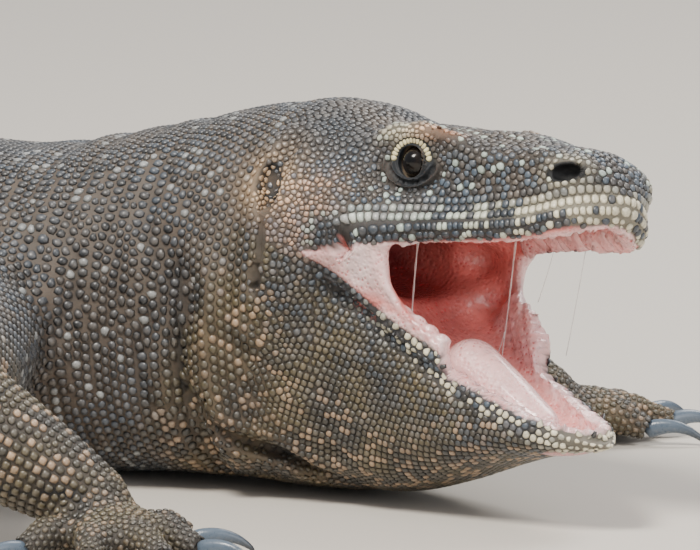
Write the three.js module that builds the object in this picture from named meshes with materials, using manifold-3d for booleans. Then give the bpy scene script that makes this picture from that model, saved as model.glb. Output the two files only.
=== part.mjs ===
// A komodo dragon, life size, lying with its belly on the floor and its mouth open.
// Millimetres, +Z up, the animal faces +X and its left side is +Y.
// Every piece of flesh is a loft: a sphere whose rows are laid out as the cross sections of a
// body. The lofts are joined, the mouth is cut out, and thin cuts part the animal into pieces.
import * as THREE from 'three';
import { mergeVertices } from 'three/addons/utils/BufferGeometryUtils.js';
import Module from 'manifold-3d';

const wasm = await Module();
wasm.setup();

// ---- driving dimensions -------------------------------------------------------------------
const GAP = 0.3; // left between neighbouring pieces
const HEAD_LENGTH = 171; // jaw joint to snout tip, without the lips
const JAW_LENGTH = 183; // jaw joint to chin
const JAW_JOINT = new THREE.Vector3(0, 0, 128); // on the mid-plane of the head
const HEAD_YAW = -20.5; // degrees, turned to the animal's right
const HEAD_PITCH = 9; // snout up
const HEAD_ROLL = 10; // right cheek up
const JAW_ROLL = 5.4; // the lower jaw gives way a little in its joint
const GAPE = 32.9; // lower jaw from the upper one
const SNOUT_TWIST = 11; // the soft lips of the snout lift a little more on the right
const LINING = 4; // thickness of the pink lining of the mouth
const EYE_RADIUS = 8.2;
const EYE_AT = new THREE.Vector3(56.5, 36.5, 35); // left eye, in the frame of the head
const NOSTRIL_AT = new THREE.Vector3(150, 26, 28); // left nostril, in the frame of the head

const SKIN = { slate: 0x5d6266, olive: 0x6b6350, sand: 0x8a8174, grey: 0x8b8f92 };
const PINK = 0xd9838a;
const HORN = 0x4c5a68;
const EYE_BROWN = 0x120d0a;

// ---- sections -----------------------------------------------------------------------------
// Stations run along a body: [place, half width, top, bottom], each in millimetres.
const HEAD_STATIONS = [
  [-62, 52, 60, -40], [-27, 67, 68.5, -46], [-4, 66, 64, -32], [14, 62, 60.5, -12],
  [45, 54, 57, -7], [68, 47, 53.5, -6.5], [95, 41.5, 51, -6.8], [123, 36.5, 43.5, -7.4],
  [152, 29.5, 38.5, -5.8], [162, 25.5, 35, -3], [HEAD_LENGTH, 19.5, 26, -0.5],
];
const JAW_STATIONS = [
  [-30, 50, 5, -118], [9, 60, -2, -128], [50, 50, -9, -113], [72, 45, -11, -103],
  [101, 39.5, -13, -80], [125, 35, -12, -57], [146, 30, -11, -39], [168, 22, -9, -25],
  [JAW_LENGTH, 14, -7, -14],
];
const TONGUE_STATIONS = [
  [66, 15, -10, -40], [100, 14, -12, -40], [128, 12, -15, -40], [150, 8, -17, -40],
];
// The neck, trunk and tail: place is the distance behind the jaw joint along the spine.
const BODY_STATIONS = [
  [-26, 54, 182, 16], [20, 70, 196, 6], [60, 76, 194, 3], [106, 81, 184, 3],
  [167, 97, 170, 0], [217, 113, 162, -3], [310, 130, 169, -4], [450, 148, 184, -4],
  [600, 156, 189, -4], [720, 140, 179, -4], [820, 108, 161, -4], [900, 80, 140, -3],
  [1000, 61, 119, -3], [1200, 44, 94, -2.5], [1500, 29, 66, -2], [1800, 19, 43, -1.5],
  [2050, 12, 27, -1.2], [2250, 6.5, 14, -0.8], [2330, 3.5, 7, -0.5],
];
// The spine seen from above, from just in front of the jaw joint to the tip of the tail.
const SPINE = [
  [28, -9], [-10, 3], [-110, 13], [-230, 10], [-450, -8], [-680, -14], [-860, 6],
  [-1060, 58], [-1310, 138], [-1560, 176], [-1810, 138], [-2030, 34], [-2215, -110],
].map(([x, y]) => new THREE.Vector3(x, y, 0));
const JOINT_TO_SPINE_START = 30; // the spine starts this far in front of the jaw joint

// Cuts across the body, as distances behind the jaw joint.
const NECK_END = 190;
const TRUNK_MIDDLE = 520;
const TRUNK_END = 865;
const TAIL_CUTS = [1200, 1600, 1960];

// Limbs: joints of the right side, then of the left, each with its radius.
const LIMBS = {
  right_arm: {
    points: [[-200, -76, 80], [-150, -232, 76], [-60, -220, 27]], radii: [42, 36, 35, 19],
  },
  left_arm: {
    points: [[-190, 76, 80], [-96, 182, 60], [8, 168, 26]], radii: [42, 35, 32, 17],
  },
  right_leg: {
    points: [[-846, -62, 82], [-742, -238, 84], [-876, -286, 27]], radii: [58, 42, 38, 20],
  },
  left_leg: {
    points: [[-850, 64, 82], [-736, 232, 84], [-862, 290, 27]], radii: [58, 42, 38, 20],
  },
};
// Feet: heading of the middle digit, spread of the digits from it and their lengths.
const FEET = {
  right_arm: {
    heading: -38, spread: [66, 36, 4, -32, -80], digits: [34, 44, 48, 44, 34], palm: 34,
  },
  left_arm: {
    heading: 55, spread: [-38, -12, 14, 42, 82], digits: [34, 46, 50, 46, 34], palm: 34,
  },
  right_leg: {
    heading: -30, spread: [44, 22, 4, -14, -62], digits: [34, 50, 62, 70, 42], palm: 58,
  },
  left_leg: {
    heading: 38, spread: [-44, -22, -4, 14, 62], digits: [34, 50, 62, 70, 42], palm: 58,
  },
};
const DIGIT_RADIUS = 8.5;
const CLAW = { length: 27, radius: 4.6, tip: 0.7 };

// ---- helpers ------------------------------------------------------------------------------
const rad = THREE.MathUtils.degToRad;

// Smooth value between stations, with no overshoot: a cubic whose slopes are limited.
function profile(stations, column) {
  const x = stations.map((row) => row[0]);
  const y = stations.map((row) => row[column]);
  const slope = (i) => (y[i + 1] - y[i]) / (x[i + 1] - x[i]);
  const tangent = (i) => {
    if (i === 0) return slope(0);
    if (i === x.length - 1) return slope(i - 1);
    const before = slope(i - 1);
    const after = slope(i);
    return before * after <= 0 ? 0 : (2 * before * after) / (before + after);
  };
  return (at) => {
    const p = THREE.MathUtils.clamp(at, x[0], x[x.length - 1]);
    let i = 0;
    while (i < x.length - 2 && p > x[i + 1]) i += 1;
    const h = x[i + 1] - x[i];
    const t = (p - x[i]) / h;
    const rise = y[i] * (1 + 2 * t) * (1 - t) ** 2 + y[i + 1] * t * t * (3 - 2 * t);
    return rise + h * t * (1 - t) * (tangent(i) * (1 - t) - tangent(i + 1) * t);
  };
}

function solid(geometry) {
  const bare = geometry.clone();
  bare.deleteAttribute('normal');
  bare.deleteAttribute('uv');
  const merged = mergeVertices(bare, 1e-4);
  const vertProperties = new Float32Array(merged.attributes.position.array);
  const triVerts = new Uint32Array(merged.index.array);
  return new wasm.Manifold(new wasm.Mesh({ numProp: 3, vertProperties, triVerts }));
}

// A sphere whose rows become sections. place(t, left, up) gives the point for the way t along
// the body, from 0 to 1, and for a direction (left, up) around it.
function loft(around, rows, place) {
  const geometry = new THREE.SphereGeometry(1, around, rows);
  const position = geometry.attributes.position;
  for (let i = 0; i < position.count; i += 1) {
    const row = Math.floor(i / (around + 1));
    const step = row % rows === 0 ? 0 : i % (around + 1) % around; // one point at a pole and seam
    const angle = (step / around) * 2 * Math.PI;
    const p = place(row / rows, -Math.cos(angle), Math.sin(angle));
    position.setXYZ(i, p.x, p.y, p.z);
  }
  return solid(geometry);
}

const power = (value, exponent) => Math.sign(value) * Math.abs(value) ** exponent;

// A loft on stations along local X. The ends are rounded over the lengths in caps.
// The sides lean in towards the top by the share in lean.
function stationLoft(stations, options) {
  const { around, rows, caps, roundness = 2, base = 2, grow = 0, lean = 0, frame, move } = options;
  const [width, top, bottom] = [1, 2, 3].map((column) => profile(stations, column));
  const from = stations[0][0] - grow;
  const to = stations[stations.length - 1][0] + grow;
  const ease = (t) => t - (0.55 * Math.sin(2 * Math.PI * t)) / (2 * Math.PI); // closer rows at the ends
  const cap = (distance, length) => {
    const t = THREE.MathUtils.clamp(1 - distance / length, 0, 1);
    return Math.sqrt(1 - t * t);
  };
  const shape = loft(around, rows, (t, left, up) => {
    const at = from + (to - from) * ease(t);
    const size = cap(at - from, caps[0]) * cap(to - at, caps[1]);
    const middle = (top(at) + bottom(at)) / 2;
    const half = ((top(at) - bottom(at)) / 2 + grow) * size;
    const side = (width(at) + grow) * size;
    const n = up > 0 ? roundness : base;
    const height = power(up, 2 / n);
    const narrowed = 1 - (lean * (height + 1)) / 2;
    const point = new THREE.Vector3(at, power(left, 2 / n) * side * narrowed, middle + height * half);
    return move ? move(point) : point;
  });
  return frame ? shape.transform(frame.elements) : shape;
}

// A tapering round tube along a curve, its ends rounded.
function tube(points, radii, { around = 10, rows = 12, grow = 0, flatten = 1 } = {}) {
  const curve = new THREE.CatmullRomCurve3(points, false, 'catmullrom', 0.5);
  const radius = profile(radii.map((r, i) => [i / (radii.length - 1), r]), 1);
  const length = curve.getLength();
  return loft(around, rows, (t, left, up) => {
    const along = THREE.MathUtils.clamp(t - (0.35 * Math.sin(2 * Math.PI * t)) / (2 * Math.PI), 0, 1);
    const tangent = curve.getTangentAt(along);
    const side = new THREE.Vector3(0, 0, 1).cross(tangent).normalize();
    const over = tangent.clone().cross(side);
    const r = radius(along) + grow;
    const overrun = Math.min(along, 1 - along) * length; // distance to the nearer end
    const round = overrun >= r ? 1 : Math.sqrt(1 - (1 - overrun / r) ** 2);
    return curve.getPointAt(along)
      .addScaledVector(tangent, (along - 0.5) * 2 * grow)
      .addScaledVector(side, left * r * round)
      .addScaledVector(over, up * r * round * flatten);
  });
}

function ellipsoid(radii, centre, around = 10, rows = 5) {
  const geometry = new THREE.SphereGeometry(1, around, rows);
  geometry.scale(...radii);
  geometry.translate(...centre);
  return solid(geometry);
}

function box(size, frame) {
  return solid(new THREE.BoxGeometry(...size)).transform(frame.elements);
}

// The half space on the far side of a plane through a point, along a direction.
function beyond(point, direction, offset) {
  const reach = 6000;
  const turn = new THREE.Quaternion().setFromUnitVectors(new THREE.Vector3(1, 0, 0), direction);
  const centre = point.clone().addScaledVector(direction, reach / 2 + offset);
  const frame = new THREE.Matrix4().compose(centre, turn, new THREE.Vector3(1, 1, 1));
  return box([reach, reach, reach], frame);
}

// Parts a solid at a plane: [the near piece, the far piece], a gap apart.
function part(whole, point, direction) {
  const far = whole.intersect(beyond(point, direction, GAP / 2));
  const near = whole.subtract(beyond(point, direction, -GAP / 2));
  return [near, far];
}

// The largest body of a cut: crumbs left at a corner of two cuts are dropped.
function largest(whole) {
  const bodies = whole.decompose();
  return bodies.reduce((a, b) => (b.volume() > a.volume() ? b : a));
}

// ---- frames -------------------------------------------------------------------------------
function turned(yaw, pitch, roll) {
  return new THREE.Matrix4()
    .multiply(new THREE.Matrix4().makeRotationZ(rad(yaw)))
    .multiply(new THREE.Matrix4().makeRotationY(rad(-pitch)))
    .multiply(new THREE.Matrix4().makeRotationX(rad(-roll)));
}
const headFrame = turned(HEAD_YAW, HEAD_PITCH, HEAD_ROLL).setPosition(JAW_JOINT);
const opened = (degrees) => new THREE.Matrix4().makeRotationY(rad(degrees));
const jawFrame = turned(HEAD_YAW, HEAD_PITCH, JAW_ROLL).setPosition(JAW_JOINT).multiply(opened(GAPE));
const middleFrame = headFrame.clone().multiply(opened(GAPE / 2)); // half way between the jaws
const inHead = (x, y, z) => new THREE.Vector3(x, y, z).applyMatrix4(headFrame);
const axisOf = (frame, x, y, z) => new THREE.Vector3(x, y, z).transformDirection(frame);
const MIRROR = [1, -1]; // left, right

// ---- head and mouth -----------------------------------------------------------------------
const upperWidth = profile(HEAD_STATIONS, 1);
const jawWidth = profile(JAW_STATIONS, 1);

// The snout in front of the eyes is turned about its long axis, more towards the tip.
function twisted(point) {
  const share = THREE.MathUtils.smoothstep(point.x, 100, 187);
  const middle = new THREE.Vector3(point.x, 0, 14);
  const turn = rad(-SNOUT_TWIST) * share;
  return point.sub(middle).applyAxisAngle(new THREE.Vector3(1, 0, 0), turn).add(middle);
}

function upperHead() {
  let head = stationLoft(HEAD_STATIONS, {
    around: 18, rows: 14, caps: [34, 25], roundness: 2.7, base: 6, lean: 0.12,
    move: twisted, frame: headFrame,
  });
  for (const side of MIRROR) {
    const brow = ellipsoid([25, 9, 7.5], [58, side * 34, 45]);
    head = head.add(brow.transform(headFrame.elements));
  }
  return head;
}

function lowerJaw() {
  return stationLoft(JAW_STATIONS, {
    around: 16, rows: 12, caps: [40, 26], roundness: 4, base: 2.3, frame: jawFrame,
  });
}

// The skin of the cheek across the corner of the mouth: a web between the jaws, with a hollow
// front edge. It is drawn from the side and given the width of the head.
const WEB_TOP = 52; // reach of the web along the upper lip
const WEB_LOW = 90; // and along the lower one
const WEB_SIDES = [[-60, 60], [9, 61], [45, 53.5], [68, 46.5], [95, 41.5]]; // place, half width
function cheekWeb() {
  const low = new THREE.Vector2(WEB_LOW, -8).rotateAround(new THREE.Vector2(), rad(-GAPE));
  const outline = new THREE.Shape();
  outline.moveTo(-30, 8);
  outline.lineTo(WEB_TOP, 8);
  outline.quadraticCurveTo(WEB_TOP - 10, -22, low.x, low.y);
  outline.lineTo(low.x - 8, low.y - 16);
  outline.lineTo(-30, -40);
  outline.closePath();
  const depth = 180; // more than the head is wide
  const drawing = { depth, bevelEnabled: false, curveSegments: 4 };
  const geometry = new THREE.ExtrudeGeometry(outline, drawing);
  geometry.rotateX(Math.PI / 2); // the drawing's up becomes Z
  geometry.translate(0, depth / 2, 0);
  const slab = solid(geometry);
  const sides = WEB_SIDES.map(([x, half]) => [x, half, 60, -110]);
  const outer = stationLoft(sides, { around: 8, rows: 7, caps: [20, 1], roundness: 9, base: 9 });
  return slab.intersect(outer).transform(headFrame.elements);
}

// The room inside the mouth, made larger by grow: the vault of the palate, the floor between
// the lower gums, the wedge between the cheeks and the way down the throat.
const LIP_WALL = 9; // from the outer side of the head to the room
const JAW_WALL = 8; // and from that of the lower jaw
const PALATE = [[34, -3], [68, -3], [95, -3.2], [123, -4.2], [152, -2.8], [161, -0.8]]; // place, lip
const FLOOR = [[30, -6], [72, -11], [101, -13], [125, -12], [146, -11], [168, -9]];
const VAULT = 13; // the palate above the lip, and the floor as far and a little below its own
const GULLET = { radii: [46, 34, 19], centre: [12, 0, -5] };
function mouthRoom(grow) {
  const wide = (x) => upperWidth(x) - LIP_WALL;
  const narrow = (x) => Math.min(wide(x), jawWidth(x) - JAW_WALL);
  const inside = (stations, top, bottom, half = wide) => stations.map(([x, lip]) => [
    x, half(x), top(x, lip), bottom(x, lip),
  ]);
  const palate = inside(PALATE, (x, lip) => lip + VAULT, () => -18);
  const floor = inside(FLOOR, () => 16, (x, lip) => lip - VAULT - 3, narrow);
  const slope = Math.tan(rad(GAPE / 2));
  const wedge = inside(
    [[14, 0], [45, 0], [68, 0], [110, 0]],
    (x) => x * slope + 3,
    (x) => -x * slope - 6,
  );
  const options = { around: 8, rows: 6, roundness: 2.6, base: 2.6, grow };
  const gullet = ellipsoid(GULLET.radii.map((r) => r + grow), GULLET.centre, 8, 6);
  return stationLoft(palate, { ...options, caps: [20, 14], move: twisted, frame: headFrame })
    .add(stationLoft(floor, { ...options, caps: [20, 14], frame: jawFrame }))
    .add(stationLoft(wedge, { ...options, rows: 5, caps: [10, 20], frame: middleFrame }))
    .add(gullet.transform(middleFrame.elements));
}

function tongue() {
  const body = stationLoft(TONGUE_STATIONS, {
    around: 10, rows: 7, caps: [16, 14], roundness: 2, base: 3, frame: jawFrame,
  });
  const front = beyond(inHead(40, 0, 0), axisOf(jawFrame, 1, 0, 0), 0);
  return body.intersect(mouthRoom(-GAP)).intersect(front);
}

function eye(side, grow = 0) {
  const centre = [EYE_AT.x, side * EYE_AT.y, EYE_AT.z];
  const r = EYE_RADIUS + grow;
  return ellipsoid([r, r, r], centre, 10, 6).transform(headFrame.elements);
}

// The hollow round the eye, under the brow.
function orbit(side) {
  const centre = [EYE_AT.x, side * (EYE_AT.y + 10), EYE_AT.z - 1];
  return ellipsoid([14, 5, 12], centre, 8, 5).transform(headFrame.elements);
}

function nostril(side) {
  const hole = ellipsoid([6, 5, 3.2], [NOSTRIL_AT.x, side * (NOSTRIL_AT.y + 2), NOSTRIL_AT.z], 6, 4);
  return hole.transform(headFrame.elements);
}

// ---- neck, trunk and tail -----------------------------------------------------------------
const spine = new THREE.CatmullRomCurve3(SPINE, false, 'catmullrom', 0.5);
const spineLength = spine.getLength();
function spineAt(distance) {
  const u = THREE.MathUtils.clamp((distance + JOINT_TO_SPINE_START) / spineLength, 0, 1);
  const point = spine.getPointAt(u);
  const back = spine.getTangentAt(u);
  return { point, back, left: new THREE.Vector3(0, 0, -1).cross(back).normalize() };
}

function bodyLength(from, to, { rows, caps, grow = 0 }) {
  const inside = BODY_STATIONS.filter(([at]) => at > from && at < to);
  const sizes = [1, 2, 3].map((column) => profile(BODY_STATIONS, column));
  const end = (at) => [at, ...sizes.map((size) => size(at))];
  const stations = [end(from), ...inside, end(to)];
  return stationLoft(stations, {
    around: 16, rows, caps, roundness: 2.15, base: 2.5, grow,
    move: (p) => {
      const { point, left } = spineAt(p.x);
      return point.addScaledVector(left, -p.y).setZ(p.z);
    },
  });
}

const BODY_END = BODY_STATIONS[BODY_STATIONS.length - 1][0];
const bodyLoft = (grow = 0) => bodyLength(-26, BODY_END, { rows: 34, caps: [34, 5], grow });

// ---- limbs --------------------------------------------------------------------------------
const vector = ([x, y, z]) => new THREE.Vector3(x, y, z);

function limbTube(limb, index, grow = 0) {
  const from = vector(limb.points[index]);
  const to = vector(limb.points[index + 1]);
  const along = to.clone().sub(from).normalize();
  const [r0, r1] = index === 0 ? limb.radii.slice(0, 2) : limb.radii.slice(2, 4);
  const start = from.clone().addScaledVector(along, -r0 * (index === 0 ? 0.3 : 0.75));
  const finish = to.clone().addScaledVector(along, r1 * 0.75);
  const middle = start.clone().lerp(finish, 0.5);
  const belly = index === 0 ? (r0 + r1) / 2 - 1 : r0 * 0.6 + r1 * 0.4;
  return tube([start, middle, finish], [r0, belly, r1], { around: 9, rows: 5, grow });
}

function digit(root, heading, length) {
  const way = new THREE.Vector3(Math.cos(rad(heading)), Math.sin(rad(heading)), 0);
  const at = (share, height) => root.clone().addScaledVector(way, length * share).setZ(height);
  const r = DIGIT_RADIUS;
  const points = [at(0, r + 6), at(0.45, r + 6), at(1, r - 2.5)];
  const toe = tube(points, [r * 1.15, r * 0.95, r * 0.85], { around: 6, rows: 4 });
  const tip = at(0.96, r);
  return { way, tip, solid: toe.subtract(beyond(tip, way, -GAP / 2)) };
}

function claw(tip, way) {
  const at = (forward, height) => tip.clone().addScaledVector(way, forward).setZ(height);
  const points = [at(-4, 8.5), at(CLAW.length * 0.45, 10.5), at(CLAW.length, CLAW.tip + 1.2)];
  const horn = tube(points, [CLAW.radius, CLAW.radius * 0.85, CLAW.tip], { around: 5, rows: 4 });
  return horn.intersect(beyond(tip, way, GAP / 2));
}

function foot(limb, plan) {
  const wrist = vector(limb.points[2]);
  const way = new THREE.Vector3(Math.cos(rad(plan.heading)), Math.sin(rad(plan.heading)), 0);
  const middle = wrist.clone().addScaledVector(way, plan.palm * 0.5);
  const knuckles = wrist.clone().addScaledVector(way, plan.palm);
  const palm = tube(
    [wrist.clone().setZ(20), middle.setZ(15), knuckles.setZ(9)],
    [20, 27, 24],
    { around: 8, rows: 5, flatten: 0.66 },
  );
  const digits = plan.spread.map((turn, i) => {
    const heading = plan.heading + turn;
    const sideways = new THREE.Vector3(-way.y, way.x, 0);
    const root = wrist.clone().addScaledVector(way, plan.palm * (0.9 - Math.abs(turn) / 140));
    root.addScaledVector(sideways, 17 * Math.sin(rad(turn)));
    return digit(root, heading, plan.digits[i]);
  });
  const claws = digits.map(({ tip, way: heading }) => claw(tip, heading));
  const hand = digits.reduce((whole, one) => whole.add(one.solid), palm);
  return { hand, claws };
}

// ---- the animal ---------------------------------------------------------------------------
const animal = new THREE.Group();
const floorUp = beyond(new THREE.Vector3(0, 0, 0), new THREE.Vector3(0, 0, 1), 0);

function add(name, whole, color, roughness = 0.7) {
  const body = largest(whole.intersect(floorUp));
  const { vertProperties, triVerts, numProp } = body.getMesh();
  const geometry = new THREE.BufferGeometry();
  const positions = new Float32Array((vertProperties.length / numProp) * 3);
  for (let i = 0; i < positions.length; i += 1) {
    positions[i] = vertProperties[Math.floor(i / 3) * numProp + (i % 3)];
  }
  geometry.setAttribute('position', new THREE.BufferAttribute(positions, 3));
  geometry.setIndex(new THREE.BufferAttribute(new Uint32Array(triVerts), 1));
  geometry.computeVertexNormals();
  const mesh = new THREE.Mesh(geometry, new THREE.MeshStandardMaterial({ color, roughness, metalness: 0 }));
  mesh.name = name;
  animal.add(mesh);
}

// Parts the flesh behind the head and along the mouth.
function headPieces(flesh) {
  const crease = inHead(-24, 0, 0);
  const [neckSide, headSide] = part(flesh, crease, axisOf(headFrame, 1, 0, 0.12));
  const [below, above] = part(headSide, inHead(4, 0, -4), axisOf(middleFrame, 0, 0, 1));
  const [throat, jaw] = part(below, inHead(0, 0, -4), axisOf(jawFrame, 0.22, 0, 1).normalize());
  return { neckSide, above, throat, jaw };
}

function build() {
  const trunkAndTail = bodyLoft();
  const solidFlesh = trunkAndTail.add(upperHead()).add(lowerJaw()).add(cheekWeb());
  let flesh = solidFlesh.subtract(mouthRoom(LINING + GAP));
  for (const side of MIRROR) {
    flesh = flesh.subtract(eye(side, GAP)).subtract(orbit(side)).subtract(nostril(side));
  }
  const lining = solidFlesh.intersect(mouthRoom(LINING)).subtract(mouthRoom(0));

  const { neckSide, above, throat, jaw } = headPieces(flesh);
  add('head', above, SKIN.slate);
  add('lower_jaw', jaw, SKIN.sand);
  add('throat', throat, SKIN.olive);
  add('mouth_lining', lining, PINK, 0.3);
  add('tongue', tongue(), PINK, 0.3);
  for (const side of MIRROR) add(side > 0 ? 'eye_left' : 'eye_right', eye(side), EYE_BROWN, 0.05);

  const cuts = [
    ['neck', NECK_END], ['trunk_front', TRUNK_MIDDLE], ['trunk_rear', TRUNK_END],
    ['tail_base', TAIL_CUTS[0]], ['tail_front', TAIL_CUTS[1]], ['tail_rear', TAIL_CUTS[2]],
  ];
  let rest = neckSide;
  for (const [name, distance] of cuts) {
    const { point, back } = spineAt(distance);
    const [near, far] = part(rest, point, back);
    add(name, near, SKIN.slate);
    rest = far;
  }
  add('tail_tip', rest, SKIN.slate);

  const trunkRoom = bodyLoft(GAP);
  for (const [name, limb] of Object.entries(LIMBS)) {
    const front = name.endsWith('arm');
    const upper = limbTube(limb, 0).subtract(trunkRoom);
    const lower = limbTube(limb, 1).subtract(limbTube(limb, 0, GAP)).subtract(trunkRoom);
    const { hand, claws } = foot(limb, FEET[name]);
    const side = name.split('_')[0];
    add(`${side}_${front ? 'upper_arm' : 'thigh'}`, upper, SKIN.slate);
    add(`${side}_${front ? 'forearm' : 'shank'}`, lower, SKIN.grey);
    const footName = `${side}_${front ? 'hand' : 'foot'}`;
    add(footName, hand.subtract(limbTube(limb, 1, GAP)), SKIN.grey);
    claws.forEach((one, i) => add(`${footName}_claw_${i + 1}`, one, HORN, 0.35));
  }
}
build();

// The origin is under the middle of the animal, on the floor.
const bounds = new THREE.Box3().setFromObject(animal);
const centre = bounds.getCenter(new THREE.Vector3());
animal.position.set(-centre.x, -centre.y, -bounds.min.z);
const dragon = new THREE.Group();
dragon.add(animal);

export default dragon;
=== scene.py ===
# %% [markdown]
# # A komodo dragon, life size
# The animal lies with its belly on the floor, its arms spread, and gapes. The frame holds its
# plain solids. This file gives it one skin, some forty thousand scales, eyes, claws and a wet
# mouth. It works in millimetres from the joint of the jaw, and turns to metres at the end.

# %% Open the frame
import math

import bmesh
import bpy
import numpy as np
from mathutils import Matrix, Vector, bvhtree, kdtree


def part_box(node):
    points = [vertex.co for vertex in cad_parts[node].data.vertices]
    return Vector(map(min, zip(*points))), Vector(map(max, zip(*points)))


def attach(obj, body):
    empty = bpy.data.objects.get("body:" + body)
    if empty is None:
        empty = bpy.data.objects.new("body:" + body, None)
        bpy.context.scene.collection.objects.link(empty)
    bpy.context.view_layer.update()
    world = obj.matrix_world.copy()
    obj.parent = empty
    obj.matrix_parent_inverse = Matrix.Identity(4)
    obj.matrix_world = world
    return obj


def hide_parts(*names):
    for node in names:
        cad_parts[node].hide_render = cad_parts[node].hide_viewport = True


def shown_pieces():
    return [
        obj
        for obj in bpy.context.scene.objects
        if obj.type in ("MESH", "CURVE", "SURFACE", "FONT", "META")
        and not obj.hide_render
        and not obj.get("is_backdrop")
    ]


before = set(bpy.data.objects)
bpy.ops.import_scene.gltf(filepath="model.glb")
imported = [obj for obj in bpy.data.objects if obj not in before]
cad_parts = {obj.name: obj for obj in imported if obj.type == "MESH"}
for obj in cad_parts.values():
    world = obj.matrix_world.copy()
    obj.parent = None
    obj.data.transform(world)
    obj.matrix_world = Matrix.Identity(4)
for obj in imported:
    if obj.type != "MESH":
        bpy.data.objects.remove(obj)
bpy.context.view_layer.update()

MM = 0.001
rng = np.random.default_rng(7)
print("nodes:", len(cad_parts))

# %% [markdown]
# ## Where things are
# The head, the lower jaw and the space half way between them each have a frame of their own at
# the joint of the jaw: x to the snout, y to the animal's left, z up. The eyes fix the joint.

# %% Frames of the head and the jaw
HEAD_YAW, HEAD_PITCH, HEAD_ROLL, JAW_ROLL, GAPE = (math.radians(a) for a in (-20.5, 9, 10, 5.4, 32.9))
EYE_AT = np.array([56.5, 36.5, 35.0])
EYE_RADIUS = 8.2


def turn_y(angle):
    c, s = math.cos(angle), math.sin(angle)
    return np.array([[c, 0, s], [0, 1, 0], [-s, 0, c]])


def head_turn(roll):
    z = np.array(Matrix.Rotation(HEAD_YAW, 3, "Z"))
    x = np.array(Matrix.Rotation(-roll, 3, "X"))
    return z @ turn_y(-HEAD_PITCH) @ x


HEAD = head_turn(HEAD_ROLL)
JAW = head_turn(JAW_ROLL) @ turn_y(GAPE)
MIDDLE = HEAD @ turn_y(GAPE / 2)

boxes = [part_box(name) for name in ("eye_left", "eye_right")]
eyes_middle = np.mean([np.array(corner) for pair in boxes for corner in pair], axis=0) / MM
JOINT = eyes_middle - HEAD @ (EYE_AT * [1, 0, 1])  # millimetres, in the row's frame
FLOOR = -JOINT[2]
print("joint of the jaw:", JOINT.round(1))


def mirrored(points):
    """The points with the right side folded over to the left, as both sides have one shape."""
    return np.stack([points[:, 0], np.abs(points[:, 1]), points[:, 2]], axis=-1)


def metres(points):
    return (np.asarray(points) + JOINT) * MM


def local(points, turn):
    return points @ turn  # the same as turn.T @ point for each row

# %% [markdown]
# ## Camera, light and floor
# A long lens from the animal's front right, a little above its eyes. A large soft light stands
# above and in front, a weaker one behind, and a pale floor runs under all.

# %% Camera, light and floor
AZIMUTH, ELEVATION = math.radians(25), math.radians(9)
FRAME_WIDTH = 350.7  # millimetres across the picture at the head
CAMERA_DISTANCE = 8000.0
toward = np.array([
    math.sin(AZIMUTH) * math.cos(ELEVATION),
    -math.cos(AZIMUTH) * math.cos(ELEVATION),
    math.sin(ELEVATION),
])
right = np.array([math.cos(AZIMUTH), math.sin(AZIMUTH), 0])
above = np.cross(toward, right)
aim = -20.92 * right - 16.48 * above  # the middle of the picture

camera = bpy.data.objects.new("camera", bpy.data.cameras.new("camera"))
bpy.context.collection.objects.link(camera)
camera.data.lens = 36 * CAMERA_DISTANCE / FRAME_WIDTH
camera.data.clip_end = 60
camera.location = metres(aim + toward * CAMERA_DISTANCE)
camera.rotation_euler = Vector(toward).to_track_quat("Z", "Y").to_euler()
bpy.context.scene.camera = camera


def soft_light(name, azimuth, elevation, distance, size, power, color):
    data = bpy.data.lights.new(name, "AREA")
    data.size, data.energy, data.color = size, power, color
    lamp = bpy.data.objects.new(name, data)
    bpy.context.collection.objects.link(lamp)
    a, e = math.radians(azimuth), math.radians(elevation)
    away = Vector((math.sin(a) * math.cos(e), -math.cos(a) * math.cos(e), math.sin(e)))
    lamp.location = Vector(metres([-150, 0, 0])) + away * distance
    lamp.rotation_euler = away.to_track_quat("Z", "Y").to_euler()
    return lamp


soft_light("key_light", -6, 56, 2.6, 0.75, 98, (1.0, 0.95, 0.87))
soft_light("fill_light", 66, 20, 3.0, 1.8, 34, (1.0, 0.97, 0.95))
soft_light("back_light", 160, 48, 2.8, 1.4, 60, (1.0, 0.97, 0.93))

bpy.ops.object.select_all(action="DESELECT")
bpy.ops.mesh.primitive_plane_add(size=30)
floor = bpy.context.object
floor.name = "floor"
floor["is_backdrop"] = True

world = bpy.data.worlds.new("studio")
bpy.context.scene.world = world
world.use_nodes = True
world.node_tree.nodes["Background"].inputs["Color"].default_value = (0.9, 0.93, 1.0, 1)
world.node_tree.nodes["Background"].inputs["Strength"].default_value = 0.5
print("camera", [round(c, 2) for c in camera.location])

# %% [markdown]
# ## The shape of the flesh
# The real body is soft: jaw, neck and arms run into each other with no edge. Lofts would show
# their facets, so the flesh is described as a distance: a function that tells for any point how
# far outside the body it is. Sums of such functions melt parts together, and a fold is a small
# amount added to it. Stations give the half width, the top and the bottom along each part.

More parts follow.
